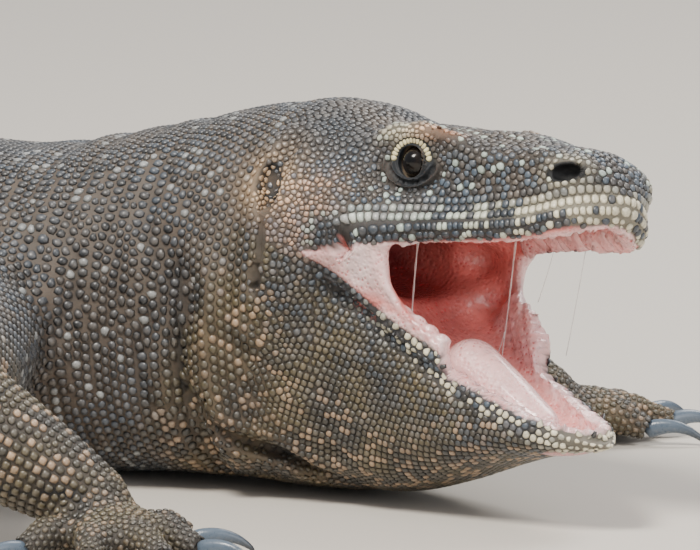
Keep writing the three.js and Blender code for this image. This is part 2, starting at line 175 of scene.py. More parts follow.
# %% Stations and lookups
HEAD_STATIONS = [
    [-62, 52, 60, -40], [-27, 67, 68.5, -46], [-4, 66, 64, -32], [14, 62, 60.5, -12], [45, 54, 57, -6],
    [68, 47, 53.5, -5.5], [95, 41.5, 51, -5.8], [123, 36.5, 43.5, -6.6], [152, 29.5, 38.5, -5.2],
    [162, 25.5, 35, -2.6], [171, 19.5, 26, 0],
]
JAW_STATIONS = [
    [-30, 50, 5, -118], [9, 60, -2, -128], [50, 50, -9, -113], [72, 45, -11, -103],
    [101, 39.5, -13, -80], [125, 35, -12, -57], [146, 30, -11, -39], [168, 22, -9, -25],
    [183, 14, -7, -14],
]
BODY_STATIONS = [
    [-26, 54, 182, 16], [20, 70, 196, 6], [60, 76, 194, 3], [106, 81, 184, 3],
    [167, 97, 170, 0], [217, 113, 162, -3], [310, 130, 169, -4], [450, 148, 184, -4],
    [600, 156, 189, -4], [720, 140, 179, -4], [820, 108, 161, -4], [900, 80, 140, -3],
    [1000, 61, 119, -3], [1200, 44, 94, -2.5], [1500, 29, 66, -2], [1800, 19, 43, -1.5],
    [2050, 12, 27, -1.2], [2250, 6.5, 14, -0.8], [2330, 3.5, 7, -0.5],
]
TONGUE_STATIONS = [[66, 15, -10, -40], [100, 14, -12, -40], [128, 12, -15, -40], [150, 8, -17, -40]]
SPINE = np.array([
    [28, -9], [-10, 3], [-110, 13], [-230, 10], [-450, -8], [-680, -14], [-860, 6],
    [-1060, 58], [-1310, 138], [-1560, 176], [-1810, 138], [-2030, 34], [-2215, -110],
], float)
SPINE_START = -30.0


def smooth_table(rows, column):
    """A cubic through the stations that never overshoots, as a fine table for np.interp."""
    rows = np.array(rows, float)
    x, y = rows[:, 0], rows[:, column]
    slope = np.diff(y) / np.diff(x)
    tangent = np.concatenate([slope[:1], np.zeros(len(x) - 2), slope[-1:]])
    same = slope[:-1] * slope[1:] > 0
    tangent[1:-1][same] = (2 * slope[:-1] * slope[1:] / (slope[:-1] + slope[1:] + 1e-12))[same]
    at = np.linspace(x[0], x[-1], 600)
    i = np.clip(np.searchsorted(x, at, side="right") - 1, 0, len(x) - 2)
    h = x[i + 1] - x[i]
    t = (at - x[i]) / h
    rise = y[i] * (1 + 2 * t) * (1 - t) ** 2 + y[i + 1] * t * t * (3 - 2 * t)
    return at, rise + h * t * (1 - t) * (tangent[i] * (1 - t) - tangent[i + 1] * t)


def lookup(rows, column):
    at, value = smooth_table(rows, column)
    return lambda x: np.interp(x, at, value)


class Stations:
    def __init__(self, rows, caps, top=2.0, base=2.0, lean=0.0):
        self.width, self.top, self.bottom = (lookup(rows, c) for c in (1, 2, 3))
        self.ends, self.caps, self.powers, self.lean = (rows[0][0], rows[-1][0]), caps, (top, base), lean

    def distance(self, x, y, z):
        top, bottom = self.top(x), self.bottom(x)
        half = (top - bottom) / 2
        height = (z - (top + bottom) / 2) / half
        n = np.where(height > 0, *self.powers)
        width = self.width(x) * (1 - self.lean * (np.clip(height, -1, 1) + 1) / 2)
        q = (np.abs(y / width) ** n + np.abs(height) ** n) ** (2 / n)
        rear = np.clip((self.ends[0] + self.caps[0] - x) / self.caps[0], 0, None)
        front = np.clip((x - self.ends[1] + self.caps[1]) / self.caps[1], 0, None)
        q += rear**2 + front**2
        # at the round front end the slope is that of the cap
        ahead = front.clip(0, 1) ** 2
        slope = (1 - ahead) / np.minimum(width, half) + ahead / self.caps[1]
        return (np.sqrt(q) - 1) / slope


def spine_curve():
    """Points, tangents and lengths along the spine, by Catmull-Rom."""
    p = np.vstack([2 * SPINE[0] - SPINE[1], SPINE, 2 * SPINE[-1] - SPINE[-2]])
    t = np.linspace(0, 1, 24, endpoint=False)[:, None]
    spans = []
    for a, b, c, d in zip(p[:-3], p[1:-2], p[2:-1], p[3:]):
        spans.append(b + 0.5 * t * (c - a + t * (2 * a - 5 * b + 4 * c - d + t * (3 * (b - c) + d - a))))
    points = np.vstack(spans + [SPINE[-1:]])
    length = np.concatenate([[0], np.cumsum(np.linalg.norm(np.diff(points, axis=0), axis=1))])
    tangent = np.gradient(points, length, axis=0)
    tangent /= np.linalg.norm(tangent, axis=1, keepdims=True)
    return length + SPINE_START, points, tangent


SPINE_AT, SPINE_POINTS, SPINE_TANGENTS = spine_curve()
# the ends run on straight, so that a point beyond them still finds its place
SPINE_AT = np.concatenate([[SPINE_AT[0] - 400], SPINE_AT, [SPINE_AT[-1] + 400]])
RUN_ON = 400
before_spine = SPINE_POINTS[0] - RUN_ON * SPINE_TANGENTS[0]
after_spine = SPINE_POINTS[-1] + RUN_ON * SPINE_TANGENTS[-1]
SPINE_POINTS = np.vstack([before_spine, SPINE_POINTS, after_spine])
SPINE_TANGENTS = np.vstack([SPINE_TANGENTS[0], SPINE_TANGENTS, SPINE_TANGENTS[-1]])


def on_spine(at):
    point = np.stack([np.interp(at, SPINE_AT, SPINE_POINTS[:, k]) for k in (0, 1)], axis=-1)
    back = np.stack([np.interp(at, SPINE_AT, SPINE_TANGENTS[:, k]) for k in (0, 1)], axis=-1)
    return point, back, np.stack([back[..., 1], -back[..., 0]], axis=-1)


COARSE = slice(0, len(SPINE_AT), 6)


def along_spine(points):
    """For each point: how far back along the spine it is, and how far to the left of it."""
    flat = points[:, :2]
    rough = SPINE_POINTS[COARSE]
    nearest = np.argmin(((flat[:, None, :] - rough[None]) ** 2).sum(-1), axis=1)
    at = SPINE_AT[COARSE][nearest]
    for _ in range(3):
        point, back, left = on_spine(at)
        at = at + ((flat - point) * back).sum(-1)
    point, back, left = on_spine(at)
    return at, ((flat - point) * left).sum(-1)


head_form = Stations(HEAD_STATIONS, (34, 25), 2.7, 6, 0.12)
jaw_form = Stations(JAW_STATIONS, (40, 26), 4, 2.3)
body_form = Stations(BODY_STATIONS, (34, 5), 2.15, 2.5)
tongue_form = Stations(TONGUE_STATIONS, (16, 14), 2, 3)
print("spine:", round(SPINE_AT[-2] - SPINE_AT[1]), "mm")

# %% [markdown]
# Distances are melted together with a smooth minimum, and cut with a smooth maximum. The larger
# the reach, the softer the valley between two parts.

# %% Melting and cutting
def melt(a, b, reach):
    share = np.clip(0.5 + 0.5 * (b - a) / reach, 0, 1)
    return b + (a - b) * share - reach * share * (1 - share)


def cut(a, b, reach):
    return -melt(-a, b, reach)


def overlap(a, b, reach):
    return -melt(-a, -b, reach)


def step(low, high, value):
    t = np.clip((value - low) / (high - low), 0, 1)
    return t * t * (3 - 2 * t)


def bump(value, width):
    return np.exp(-((value / width) ** 2))


def ball(p, centre, radii):
    q = (p - np.array(centre, float)) / np.array(radii, float)
    return (np.sqrt((q * q).sum(-1)) - 1) * min(radii)


def rod(p, start, end, r0, r1, belly=0.0):
    start, end = np.array(start, float), np.array(end, float)
    way = end - start
    t = np.clip((p - start) @ way / (way @ way), 0, 1)
    off = p - start - t[:, None] * way
    return np.sqrt((off * off).sum(-1)) - (r0 + (r1 - r0) * t + 4 * belly * t * (1 - t))


def chain(p, points, radii, reach=2.0):
    whole = rod(p, points[0], points[1], radii[0], radii[1])
    for i in range(1, len(points) - 1):
        whole = melt(whole, rod(p, points[i], points[i + 1], radii[i], radii[i + 1]), reach)
    return whole


def to_line(p, points):
    """Distance to a bent line, and how far along it the nearest place is, from 0 to 1."""
    best = np.full(len(p), 1e9)
    share = np.zeros(len(p))
    count = len(points) - 1
    for i in range(count):
        a, b = np.array(points[i], float), np.array(points[i + 1], float)
        t = np.clip((p - a) @ (b - a) / ((b - a) @ (b - a)), 0, 1)
        off = np.linalg.norm(p - a - t[:, None] * (b - a), axis=1)
        nearer = off < best
        best[nearer], share[nearer] = off[nearer], ((i + t) / count)[nearer]
    return best, share

# %% [markdown]
# ## Head, jaws and mouth
# The upper head is one long loft whose snout turns a little about its own axis. Over the eye
# runs a brow of bone, which goes on as an edge to the nostril. The lower jaw hangs open, and a
# web of wet skin spans the corner of the mouth. The room of the mouth is cut out last, and pads
# of gum stand along its rims: a komodo dragon's teeth are buried in them.

# %% Upper head
SNOUT_TWIST = math.radians(11)
BROW = [(28, 41, 45), (44, 38, 48), (60, 35.5, 48), (80, 33, 42), (108, 30, 34), (138, 26, 31)]
BROW_RADII = [4, 7, 7.5, 6.5, 6, 6]
RIDGE = [(34, 42, 48.5), (46, 43, 51), (60, 42.5, 51), (74, 40.5, 48.5), (90, 36, 42)]
upper_width = lookup(HEAD_STATIONS, 1)
LIP_LINE = [
    [-62, 0, -9], [7, 0, -7], [45, 0, -3.5], [73, 0, -3], [110, 0, -3.6],
    [132, 0, -4.5], [150, 0, -3], [165, 0, 0.2], [178, 0, 3.4], [200, 0, 5],
]
lip_height = lookup(LIP_LINE, 2)


HEAD_END, HEAD_ROUND = 171, 25  # where the upper jaw ends, and how far back its front is round
JAW_END, JAW_ROUND = 183, 26  # the same on the lower jaw
TWIST_AXIS = 14  # the height of the axis that the snout turns about


def untwisted(u, way=1):
    """The same places on a head whose snout does not turn about its own axis."""
    turn = way * SNOUT_TWIST * step(100, 187, u[:, 0])
    y, z = u[:, 1], u[:, 2] - TWIST_AXIS
    c, s = np.cos(turn), np.sin(turn)
    return np.stack([u[:, 0], y * c - z * s, y * s + z * c + TWIST_AXIS], axis=-1)


def twisted(u):
    return untwisted(u, -1)


def plan_distance(x, y, width, end, cap):
    """How far a point is outside a jaw with a round front, seen from above."""
    front = np.clip((x - end + cap) / cap, 0, None)
    q = np.sqrt((y / width) ** 2 + front**2) + 1e-6
    slope = np.sqrt((y / width**2) ** 2 + (front / cap) ** 2) / q
    return (q - 1) / np.maximum(slope, 1 / np.maximum(width, cap))


def head_plan(x, y):
    """How far a point is outside the head, seen from above."""
    return plan_distance(x, y, upper_width(x), HEAD_END, HEAD_ROUND)


def upper_head(u):
    whole = head_form.distance(u[:, 0], u[:, 1], u[:, 2])
    side = mirrored(u)
    whole = melt(whole, ball(side, (2, 49, 6), (34, 18, 26)), 12)
    whole = cut(whole, ball(side, (EYE_AT[0] + 1, 50, EYE_AT[2] - 2), (17, 7, 13)), 6)
    whole = cut(whole, ball(side, (104, 44, 22), (26, 6, 9)), 9)
    whole = melt(whole, chain(side, BROW, BROW_RADII, 4), 5)
    whole = melt(whole, ball(side, (147, 20, 22.5), (14, 10.5, 10)), 7)
    labial = (u[:, 2] - lip_height(u[:, 0]) - 5) / 7
    whole = whole - 1.6 * np.exp(-labial**2) * step(0, 40, u[:, 0])
    whole = melt(whole, chain(side, RIDGE, (1.0, 2.2, 2.6, 2.2, 1.0), 3), 5)
    inward, above = head_plan(u[:, 0], u[:, 1]) + 4.3, u[:, 2] - lip_height(u[:, 0]) - 2.4
    roll = np.sqrt(inward**2 + above**2) - 4.6  # the rounded edge of the upper lip
    return melt(whole, np.maximum(roll, 16 - u[:, 0]), 7)


NOSTRIL = (151, 30, 22.8)


def nostrils(u):
    side = mirrored(u)
    return ball(side, NOSTRIL, (6.2, 9.5, 3.1))

# %% Eyelids
LID_OPEN = (7.7, 6.9)  # half the length and half the height of the opening
LID_TILT = math.radians(-8)


def eye_socket(whole, u):
    """Lids that lie on the eyeball, with an almond opening between them."""
    side = mirrored(u) - EYE_AT
    r = np.sqrt((side * side).sum(-1))
    x = side[:, 0] * math.cos(LID_TILT) + side[:, 2] * math.sin(LID_TILT)
    z = -side[:, 0] * math.sin(LID_TILT) + side[:, 2] * math.cos(LID_TILT)
    rings = np.sqrt((x / 1.25) ** 2 + z**2)
    below = step(1.5, -3.5, z)
    folds = bump(rings - 9.2, 1.0) - bump(rings - 11, 0.9) + bump(rings - 12.8, 1.0) - bump(rings - 14.8, 1.1)
    crescents = 1.1 * below * folds
    whole = whole - crescents * step(2, 6, side[:, 1] + 4)
    whole = melt(whole, r - (EYE_RADIUS + 1.1), 3.0)
    almond = (np.sqrt((np.abs(x) / LID_OPEN[0]) ** 2.2 + (np.abs(z) / LID_OPEN[1]) ** 2) - 1) * LID_OPEN[1]
    hole = np.maximum(almond, np.maximum(EYE_RADIUS - 1.4 - r, -side[:, 1] - 1))
    return cut(whole, hole, 0.7)

# %% Lower jaw and the web of the cheek
WEB_EDGE = [[-90, 90], [-70, 82], [-56, 70], [-46, 59], [-36, 51], [-22, 46], [-8, 47.5], [2, 52], [14, 58]]
web_edge = lookup(WEB_EDGE, 1)
jaw_width = lookup(JAW_STATIONS, 1)
jaw_top = lookup(JAW_STATIONS, 2)


def jaw_plan(x, y):
    return plan_distance(x, y, jaw_width(x), JAW_END, JAW_ROUND)


def cheek_web(u, v):
    x, y, z = u.T
    width = np.interp(x, [-60, 9, 30, 45, 68, 95], [60, 60, 56.5, 51.5, 44, 38.5])
    low = step(26, 3, v[:, 2] - jaw_top(v[:, 0]))
    sheet = (np.abs(y) - width) * (1 - low) + (np.abs(v[:, 1]) - jaw_width(v[:, 0]) + 2.2) * low
    flat = overlap(sheet, (x - web_edge(z)) * 0.85, 3)
    lips = np.maximum(z - lip_height(x) - 6, jaw_top(v[:, 0]) - 5 - v[:, 2])
    return np.maximum(flat, np.maximum(lips, -30 - x))

# %% The room of the mouth
LIP_WALL, JAW_WALL = 9.0, 8.0
VAULT = 13.0


def wide(x):
    return float(upper_width(x)) - LIP_WALL


def narrow(x):
    return min(wide(x), float(jaw_width(x)) - JAW_WALL)


def room_stations(lips, top, bottom, half=wide):
    return [[x, half(x), top(x, lip), bottom(x, lip)] for x, lip in lips]


HALF_GAPE_SLOPE = math.tan(GAPE / 2)
palate_lips = [[34, -3], [68, -3], [95, -3.2], [123, -4.2], [152, -2.8], [161, -0.8]]
floor_lips = [[30, -6], [72, -11], [101, -13], [125, -12], [146, -11], [168, -9]]
wedge_places = [[14, 0], [45, 0], [68, 0], [110, 0]]
palate_stations = room_stations(
    palate_lips, lambda x, lip: lip + VAULT - 6.5 * float(step(100, 140, x)), lambda x, lip: -18
)
floor_stations = room_stations(floor_lips, lambda x, lip: 16, lambda x, lip: lip - VAULT - 3, narrow)
wedge_stations = room_stations(
    wedge_places,
    lambda x, _: x * HALF_GAPE_SLOPE + 3,
    lambda x, _: -x * HALF_GAPE_SLOPE - 6,
    lambda x: wide(x) - 2.5,
)
palate_form = Stations(palate_stations, (20, 16), 2.6, 2.6)
floor_form = Stations(floor_stations, (20, 14), 2.6, 2.6)
wedge_form = Stations(wedge_stations, (10, 20), 2.6, 2.6)


def mouth_room(u, v, m):
    room = melt(palate_form.distance(*u.T), floor_form.distance(*v.T), 5)
    room = melt(room, wedge_form.distance(*m.T), 6)
    return melt(room, ball(m, (12, 0, -5), (46, 34, 19)), 8)


def upper_gum(u):
    x, y, z = u.T
    front = step(95, 150, x)
    across = head_plan(x, y) + 11 + 1.5 * front
    down = z - lip_height(x) + 0.5 + 1.5 * front
    lumps = 0.45 * np.sin(x * 0.8 + y * 0.3) * np.sin(y * 0.9)
    return overlap(np.sqrt(across**2 + (down * 0.85) ** 2) - (5 + 1.5 * front) - lumps, 52 - x, 4)


def lower_gum(v):
    """The gum hides the teeth, so it stands well above the rim of the jaw."""
    x, y, z = v.T
    tall = step(40, 80, x) * step(186, 160, x)
    lumps = 0.6 * np.sin(x * 0.75) * np.sin(z * 0.9 + y * 0.4)
    across = (jaw_plan(x, y) + 8.0) * 0.9
    far = np.interp(x, [40, 90, 130, 155, 182], [9, 14.5, 11, 7, 5]) * step(-6, 6, y)
    height = np.maximum(6.1 + 2.9 * tall, far)
    rise = (z - jaw_top(x) + 1.5 - 1.5 * tall) * 5.2 / height
    return overlap(np.sqrt(across**2 + rise**2) - 5.2 - lumps, 50 - x, 6)


def in_wedge(u, v, soft):
    """1 between the lip lines in front of the corner of the mouth, seen from the side."""
    below = step(soft, -soft, u[:, 2] - lip_height(u[:, 0]) + 2.4)
    above = step(-soft, soft, v[:, 2] - jaw_top(v[:, 0]) - 0.5 - 1.8 * step(60, 90, v[:, 0]))
    return below * above * step(4, 7, u[:, 0])


def wetness(p, soft=0.6):
    """1 on the pink, wet skin of the mouth and 0 on scaly skin. The border runs along the lips."""
    u, v, m = local(p, HEAD), local(p, JAW), local(p, MIDDLE)
    s = untwisted(u)
    room = mouth_room(s, v, m)
    inside = step(7, 5.5 - soft, room)
    plan, rise = head_plan(s[:, 0], s[:, 1]), s[:, 2] - lip_height(s[:, 0])
    lip = step(-5 - soft, -5 + soft, plan + 3 * step(2, 6, rise)) * step(-4, -2, rise)
    plan, drop = jaw_plan(v[:, 0], v[:, 1]), v[:, 2] - jaw_top(v[:, 0])
    outward = plan + 3 * step(-4, -9, drop) + 3 * step(75, 45, v[:, 0]) * step(0, -3, drop)
    rim = step(-4 - soft, -4 + soft, outward) * step(3.5, 1.5, drop)
    inside = inside * (1 - np.maximum(lip, rim))
    return np.maximum(inside, in_wedge(s, v, soft) * step(60, 50, np.abs(room)))

# %% [markdown]
# ## Neck, trunk, tail and limbs
# One loft follows the spine from the head to the tip of the tail. A limb is a chain of tapering
# rods, and a foot a flat palm with five fingers, each a bent chain.

# %% Limbs and feet
LIMBS = {
    "right_arm": ([(-200, -76, 80), (-150, -232, 76), (-60, -220, 27)], (42, 36, 35, 19)),
    "left_arm": ([(-190, 76, 80), (-96, 182, 60), (8, 168, 26)], (42, 35, 32, 17)),
    "right_leg": ([(-846, -62, 82), (-742, -238, 84), (-876, -286, 27)], (58, 42, 38, 20)),
    "left_leg": ([(-850, 64, 82), (-736, 232, 84), (-862, 290, 27)], (58, 42, 38, 20)),
}
FEET = {
    "right_arm": (-38, (66, 36, 4, -32, -80), (34, 44, 48, 44, 34), 34),
    "left_arm": (55, (-38, -12, 14, 42, 82), (34, 46, 50, 46, 34), 34),
    "right_leg": (-30, (44, 22, 4, -14, -62), (34, 50, 62, 70, 42), 58),
    "left_leg": (38, (-44, -22, -4, 14, 62), (34, 50, 62, 70, 42), 58),
}
DIGIT_RADIUS = 8.5


def over_floor(point):
    return np.array([point[0], point[1], point[2] + FLOOR], float)


def heading(degrees):
    return np.array([math.cos(math.radians(degrees)), math.sin(math.radians(degrees)), 0])


def digits_of(name):
    """The root, knuckle and tip of each finger, and its heading."""
    wrist = over_floor(LIMBS[name][0][2]) * [1, 1, 0]
    facing, spread, lengths, palm = FEET[name]
    way = heading(facing)
    side = np.array([-way[1], way[0], 0])
    fingers = []
    for turn, length in zip(spread, lengths):
        root = wrist + way * palm * (0.9 - abs(turn) / 140) + side * 17 * math.sin(math.radians(turn))
        out = heading(facing + turn)
        heights = np.array([DIGIT_RADIUS + 5, DIGIT_RADIUS + 6, DIGIT_RADIUS - 2.2]) + FLOOR
        points = [root + out * length * share + [0, 0, z] for share, z in zip((0, 0.45, 1), heights)]
        fingers.append((points, out))
    return fingers


def foot_distance(p, name):
    wrist = over_floor(LIMBS[name][0][2])
    way, palm = heading(FEET[name][0]), FEET[name][3]
    middle = wrist + way * palm * 0.5
    middle[2] = FLOOR + 14
    q = (p - middle) @ np.stack([way, [-way[1], way[0], 0], [0, 0, 1]], axis=1)
    whole = ball(q, (0, 0, 0), (palm * 0.5 + 19, 25, 15.5))
    r = DIGIT_RADIUS
    for points, _ in digits_of(name):
        finger = chain(p, points, (r * 1.15, r * 1.02, r * 0.86), 5)
        whole = melt(whole, finger, 4)
    return whole


def limb_distance(p, name):
    points, (r0, r1, r2, r3) = LIMBS[name]
    a, b, c = (over_floor(point) for point in points)
    upper = rod(p, a, b, r0, r1, 1.5)
    lower = rod(p, b, c, r2, r3, 1.5)
    whole = melt(upper, lower, 12)
    return melt(whole, foot_distance(p, name), 8)


def near(p, points, reach):
    low, high = np.min(points, axis=0) - reach, np.max(points, axis=0) + reach
    return np.all((p > low) & (p < high), axis=1)

# %% [markdown]
# ## Folds
# Loose skin lies in folds: upright ones on the neck, where it turns, a deep one behind the
# cheek, level wavy ones under the throat, and others at the shoulder and along the trunk.

# %% Folds of the neck, cheek and throat
CHEEK_CREASE = [(-6, 58, 62), (-12, 66, 40), (-17, 68, 12), (-20, 68, -14), (-27, 66, -44)]
EAR = (-19, 66, 27)


def body_folds(p, at, left):
    z = p[:, 2] - FLOOR
    side = np.abs(left)
    wave = 6 * np.sin(z / 23.0) + 4 * np.sin(z / 11.0 + 1.3)
    upper = step(20, 60, z) * step(205, 150, z)
    depth = np.zeros(len(p))
    for place, width, deep in ((104, 6.5, 3.2), (128, 5.5, 2.2), (152, 6.0, 2.6), (176, 7, 3.0)):
        depth += deep * bump(at - place - wave, width) * upper
    # a loose roll hangs on the side of the lower neck
    roll = bump(at - 62 - 0.12 * (z - 70) - 0.6 * wave, 9) * step(150, 100, z) * step(2, 30, z)
    groove = bump(at - 82 - 0.12 * (z - 70) - 0.6 * wave, 6) * step(150, 100, z) * step(2, 30, z)
    depth += 6.0 * groove - 5.5 * roll
    shoulder = bump(at - 200, 12) + 0.7 * bump(at - 228, 10)
    depth += 3.4 * shoulder * step(25, 60, z) * step(40, 70, side)
    trunk = step(240, 300, at) * step(860, 800, at)
    depth += trunk * 1.0 * np.sin(at / 13.0 + 2 * np.sin(z / 40)) * step(120, 60, z) * step(60, 100, side)
    return depth


def head_folds(u, v):
    side = mirrored(u)
    off, share = to_line(side, CHEEK_CREASE)
    depth = 7.5 * bump(off, 4.6) * step(0, 0.12, share) * (1 - 0.6 * step(0.75, 1, share))
    depth -= 2.2 * bump(off - 9, 5) * step(0, 0.1, share)
    x, y, z = v.T
    # level folds on the side of the throat
    level = z + 104 + 5 * np.sin(x / 17.0) + 3 * np.sin(x / 7.5 + 1)
    throat = step(-30, 0, x) * step(105, 60, x) * step(20, 40, np.abs(y))
    depth += throat * (6.5 * bump(level, 3.4) - 3.0 * bump(level + 8, 5) - 2.2 * bump(level - 8, 5))
    ripples = np.sin(z / 2.6 + 1.2 * np.sin(x / 14.0)) * step(-100, -84, z) * step(-24, -40, z)
    depth += 0.5 * ripples * throat
    return depth

# %% The whole flesh
def flesh(p):
    at, left = along_spine(p)
    whole = body_form.distance(at, left, p[:, 2] - FLOOR)
    whole = whole + body_folds(p, at, left)
    for name, (points, radii) in LIMBS.items():
        ends = [over_floor(point) for point in points]
        close = near(p, np.vstack(ends), 130)
        if close.any():
            whole[close] = melt(whole[close], limb_distance(p[close], name), 20)
    close = (p[:, 0] > -170) & (np.abs(p[:, 1]) < 150)
    if close.any():
        q = p[close]
        u, v, m = local(q, HEAD), local(q, JAW), local(q, MIDDLE)
        s = untwisted(u)
        jaws = melt(upper_head(s), jaw_form.distance(*v.T), 6)
        head = melt(whole[close], jaws, 14)
        head = head + head_folds(u, v)
        head = melt(head, cheek_web(u, v), 7)
        room = mouth_room(s, v, m)
        head = cut(head, room, 4)
        inner = room - 8
        gums = overlap(melt(upper_gum(s), lower_gum(v), 2), inner, 3)
        head = melt(head, gums, 3)
        head = melt(head, np.maximum(tongue_form.distance(*v.T), 40 - v[:, 0]), 4)
        head = cut(head, nostrils(s), 2)
        side = mirrored(u)
        head = cut(head, ball(side, EAR, (3.0, 8, 7)), 3)
        whole[close] = eye_socket(head, u)
    ground = FLOOR + 1.3 - p[:, 2]
    return overlap(whole, ground, 2.5)


def slopes(p, h=0.35):
    base = flesh(p)
    g = np.stack([flesh(p + h * axis) - base for axis in np.eye(3)], axis=-1) / h
    size = np.maximum(np.linalg.norm(g, axis=1), 0.2)
    return base / size, g / size[:, None]


def settle(p, depth, rounds=5, stride=4.0):
    """Moves points along the slope until they lie the given depth inside the flesh."""
    for _ in range(rounds):
        away, normal = slopes(p)
        p = p - np.clip(away + depth, -stride, stride)[:, None] * normal
    return p, normal


print("distance at the joint of the jaw:", flesh(np.zeros((1, 3))).round(1))

# %% [markdown]
# ## One skin
# Copies of the solids are joined and remeshed, fine at the head and coarser behind. The two
# nets are bridged inside the neck. Then every point slides onto the flesh function, so the skin
# has no facets and no seam. Where a wall of the mouth is thin, the net can turn over. Such points
# are pushed through it and settled again, which mends most of them but not all.

# %% Remeshed copies
CLAW_NAMES = [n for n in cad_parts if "_claw_" in n]
HEAD_NODES = ["head", "lower_jaw", "throat", "mouth_lining", "tongue", "neck"]
FLESH_NODES = [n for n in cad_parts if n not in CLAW_NAMES and not n.startswith("eye_")]
HEAD_VOXEL, BODY_VOXEL = 0.0026, 0.0066
SEAM = -70.0  # the plane across the neck where the two nets meet


def only(*objects):
    bpy.ops.object.select_all(action="DESELECT")
    for obj in objects:
        obj.select_set(True)
    bpy.context.view_layer.objects.active = objects[0]


def remeshed(name, nodes, voxel):
    copies = []
    for node in nodes:
        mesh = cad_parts[node].data.copy()
        mesh.materials.clear()
        copy = bpy.data.objects.new(name, mesh)
        bpy.context.collection.objects.link(copy)
        copies.append(copy)
    only(*copies)
    if len(copies) > 1:
        bpy.ops.object.join()
    obj = bpy.context.object
    obj.name = name
    bpy.ops.object.mode_set(mode="EDIT")
    bpy.ops.mesh.select_all(action="SELECT")
    bpy.ops.mesh.remove_doubles(threshold=1e-5)
    bpy.ops.object.mode_set(mode="OBJECT")
    obj.data.remesh_voxel_size = voxel
    bpy.ops.object.voxel_remesh()
    return obj


def points_of(obj):
    flat = np.empty(len(obj.data.vertices) * 3, np.float32)
    obj.data.vertices.foreach_get("co", flat)
    return flat.reshape(-1, 3).astype(float) / MM - JOINT


def move_points(obj, points):
    obj.data.vertices.foreach_set("co", metres(points).astype(np.float32).ravel())
    obj.data.update()


def trim(obj, keep_front):
    """Cuts the neck at the seam and keeps one side of it; arms and hands are left alone."""
    mesh = bmesh.new()
    mesh.from_mesh(obj.data)
    plane = metres([SEAM, 0, 0])
    reach = 0.13
    faces = [f for f in mesh.faces if abs(f.calc_center_median().y - plane[1]) < reach]
    faces = [f for f in faces if keep_front or f.calc_center_median().x > plane[0] - 0.05]
    parts = list({e for f in faces for e in f.edges}) + list({v for f in faces for v in f.verts}) + faces
    bmesh.ops.bisect_plane(mesh, geom=parts, plane_co=plane, plane_no=(1, 0, 0), dist=1e-6)
    side = 1 if keep_front else -1
    drop = []
    for f in mesh.faces:
        c = f.calc_center_median()
        if (c.x - plane[0]) * side < 0 and (keep_front or abs(c.y - plane[1]) < reach):
            drop.append(f)
    bmesh.ops.delete(mesh, geom=drop, context="FACES")
    mesh.to_mesh(obj.data)
    mesh.free()


front = remeshed("skin", HEAD_NODES, HEAD_VOXEL)
trim(front, True)
rear = remeshed("rear", [n for n in FLESH_NODES if n not in HEAD_NODES] + ["neck"], BODY_VOXEL)
trim(rear, False)
only(front, rear)
bpy.ops.object.join()
skin = bpy.context.object
bpy.ops.object.mode_set(mode="EDIT")
bpy.ops.mesh.select_all(action="DESELECT")
bpy.ops.mesh.select_mode(type="EDGE")
bpy.ops.mesh.select_non_manifold(
    extend=False, use_wire=False, use_multi_face=False, use_non_contiguous=False, use_verts=False
)
bpy.ops.mesh.bridge_edge_loops()
bpy.ops.object.mode_set(mode="OBJECT")
print("skin after the bridge:", len(skin.data.vertices), "points")

# %% Sliding the net onto the flesh
SCALE_DEPTH = 1.5


def neighbours(obj):
    edges = np.empty(len(obj.data.edges) * 2, np.int64)
    obj.data.edges.foreach_get("vertices", edges)
    a, b = edges.reshape(-1, 2).T
    return np.concatenate([a, b]), np.concatenate([b, a])


def relax(points, pairs, share, rounds=1):
    """Each point goes a share of the way to the middle of its neighbours."""
    own, other = pairs
    count = np.bincount(own, minlength=len(points))[:, None]
    for _ in range(rounds):
        sums = [np.bincount(own, weights=points[other, k], minlength=len(points)) for k in range(3)]
        middle = np.stack(sums, axis=-1)
        points = points + share * (middle / count - points)
    return points


def depth_at(points):
    return SCALE_DEPTH * (1 - wetness(points, 3.0))


def settled(obj, rounds, relaxes, share=0.5, chosen=None):
    pairs = neighbours(obj)
    points = points_of(obj)
    some = np.ones(len(points), bool) if chosen is None else chosen
    for turn in range(relaxes):
        points[some] = relax(points, pairs, share, 2)[some]
        points[some], normal = settle(points[some], depth_at(points[some]), rounds, 2.5)
    move_points(obj, points)
    return points, normal


def rim_distance(p):
    """How far a point is from the nearer lip edge."""
    s, v = untwisted(local(p, HEAD)), local(p, JAW)
    upper = np.hypot(head_plan(s[:, 0], s[:, 1]) + 5, s[:, 2] - lip_height(s[:, 0]) + 1) + 40 * (s[:, 0] < 4)
    lower = np.hypot(jaw_plan(v[:, 0], v[:, 1]) + 4, v[:, 2] - jaw_top(v[:, 0]) - 0.5) + 40 * (v[:, 0] < 4)
    return np.minimum(upper, lower)


def gum_distance(p):
    """How far a point is from the gums; less than nothing inside them."""
    s, v = untwisted(local(p, HEAD)), local(p, JAW)
    return np.minimum(upper_gum(s) + 40 * (s[:, 0] < 60), lower_gum(v) + 40 * (v[:, 0] < 60))


def refine(obj, chosen):
    """Splits each face of the net that has only chosen corners."""
    flags = np.asarray(chosen)
    faces = np.array([all(flags[i] for i in f.vertices) for f in obj.data.polygons])
    only(obj)
    bpy.context.tool_settings.mesh_select_mode = (False, False, True)
    for part in (obj.data.vertices, obj.data.edges):
        part.foreach_set("select", np.zeros(len(part), bool))
    obj.data.polygons.foreach_set("select", faces)
    bpy.ops.object.mode_set(mode="EDIT")
    bpy.ops.mesh.subdivide(number_cuts=1)
    bpy.ops.object.mode_set(mode="OBJECT")
    return int(faces.sum())


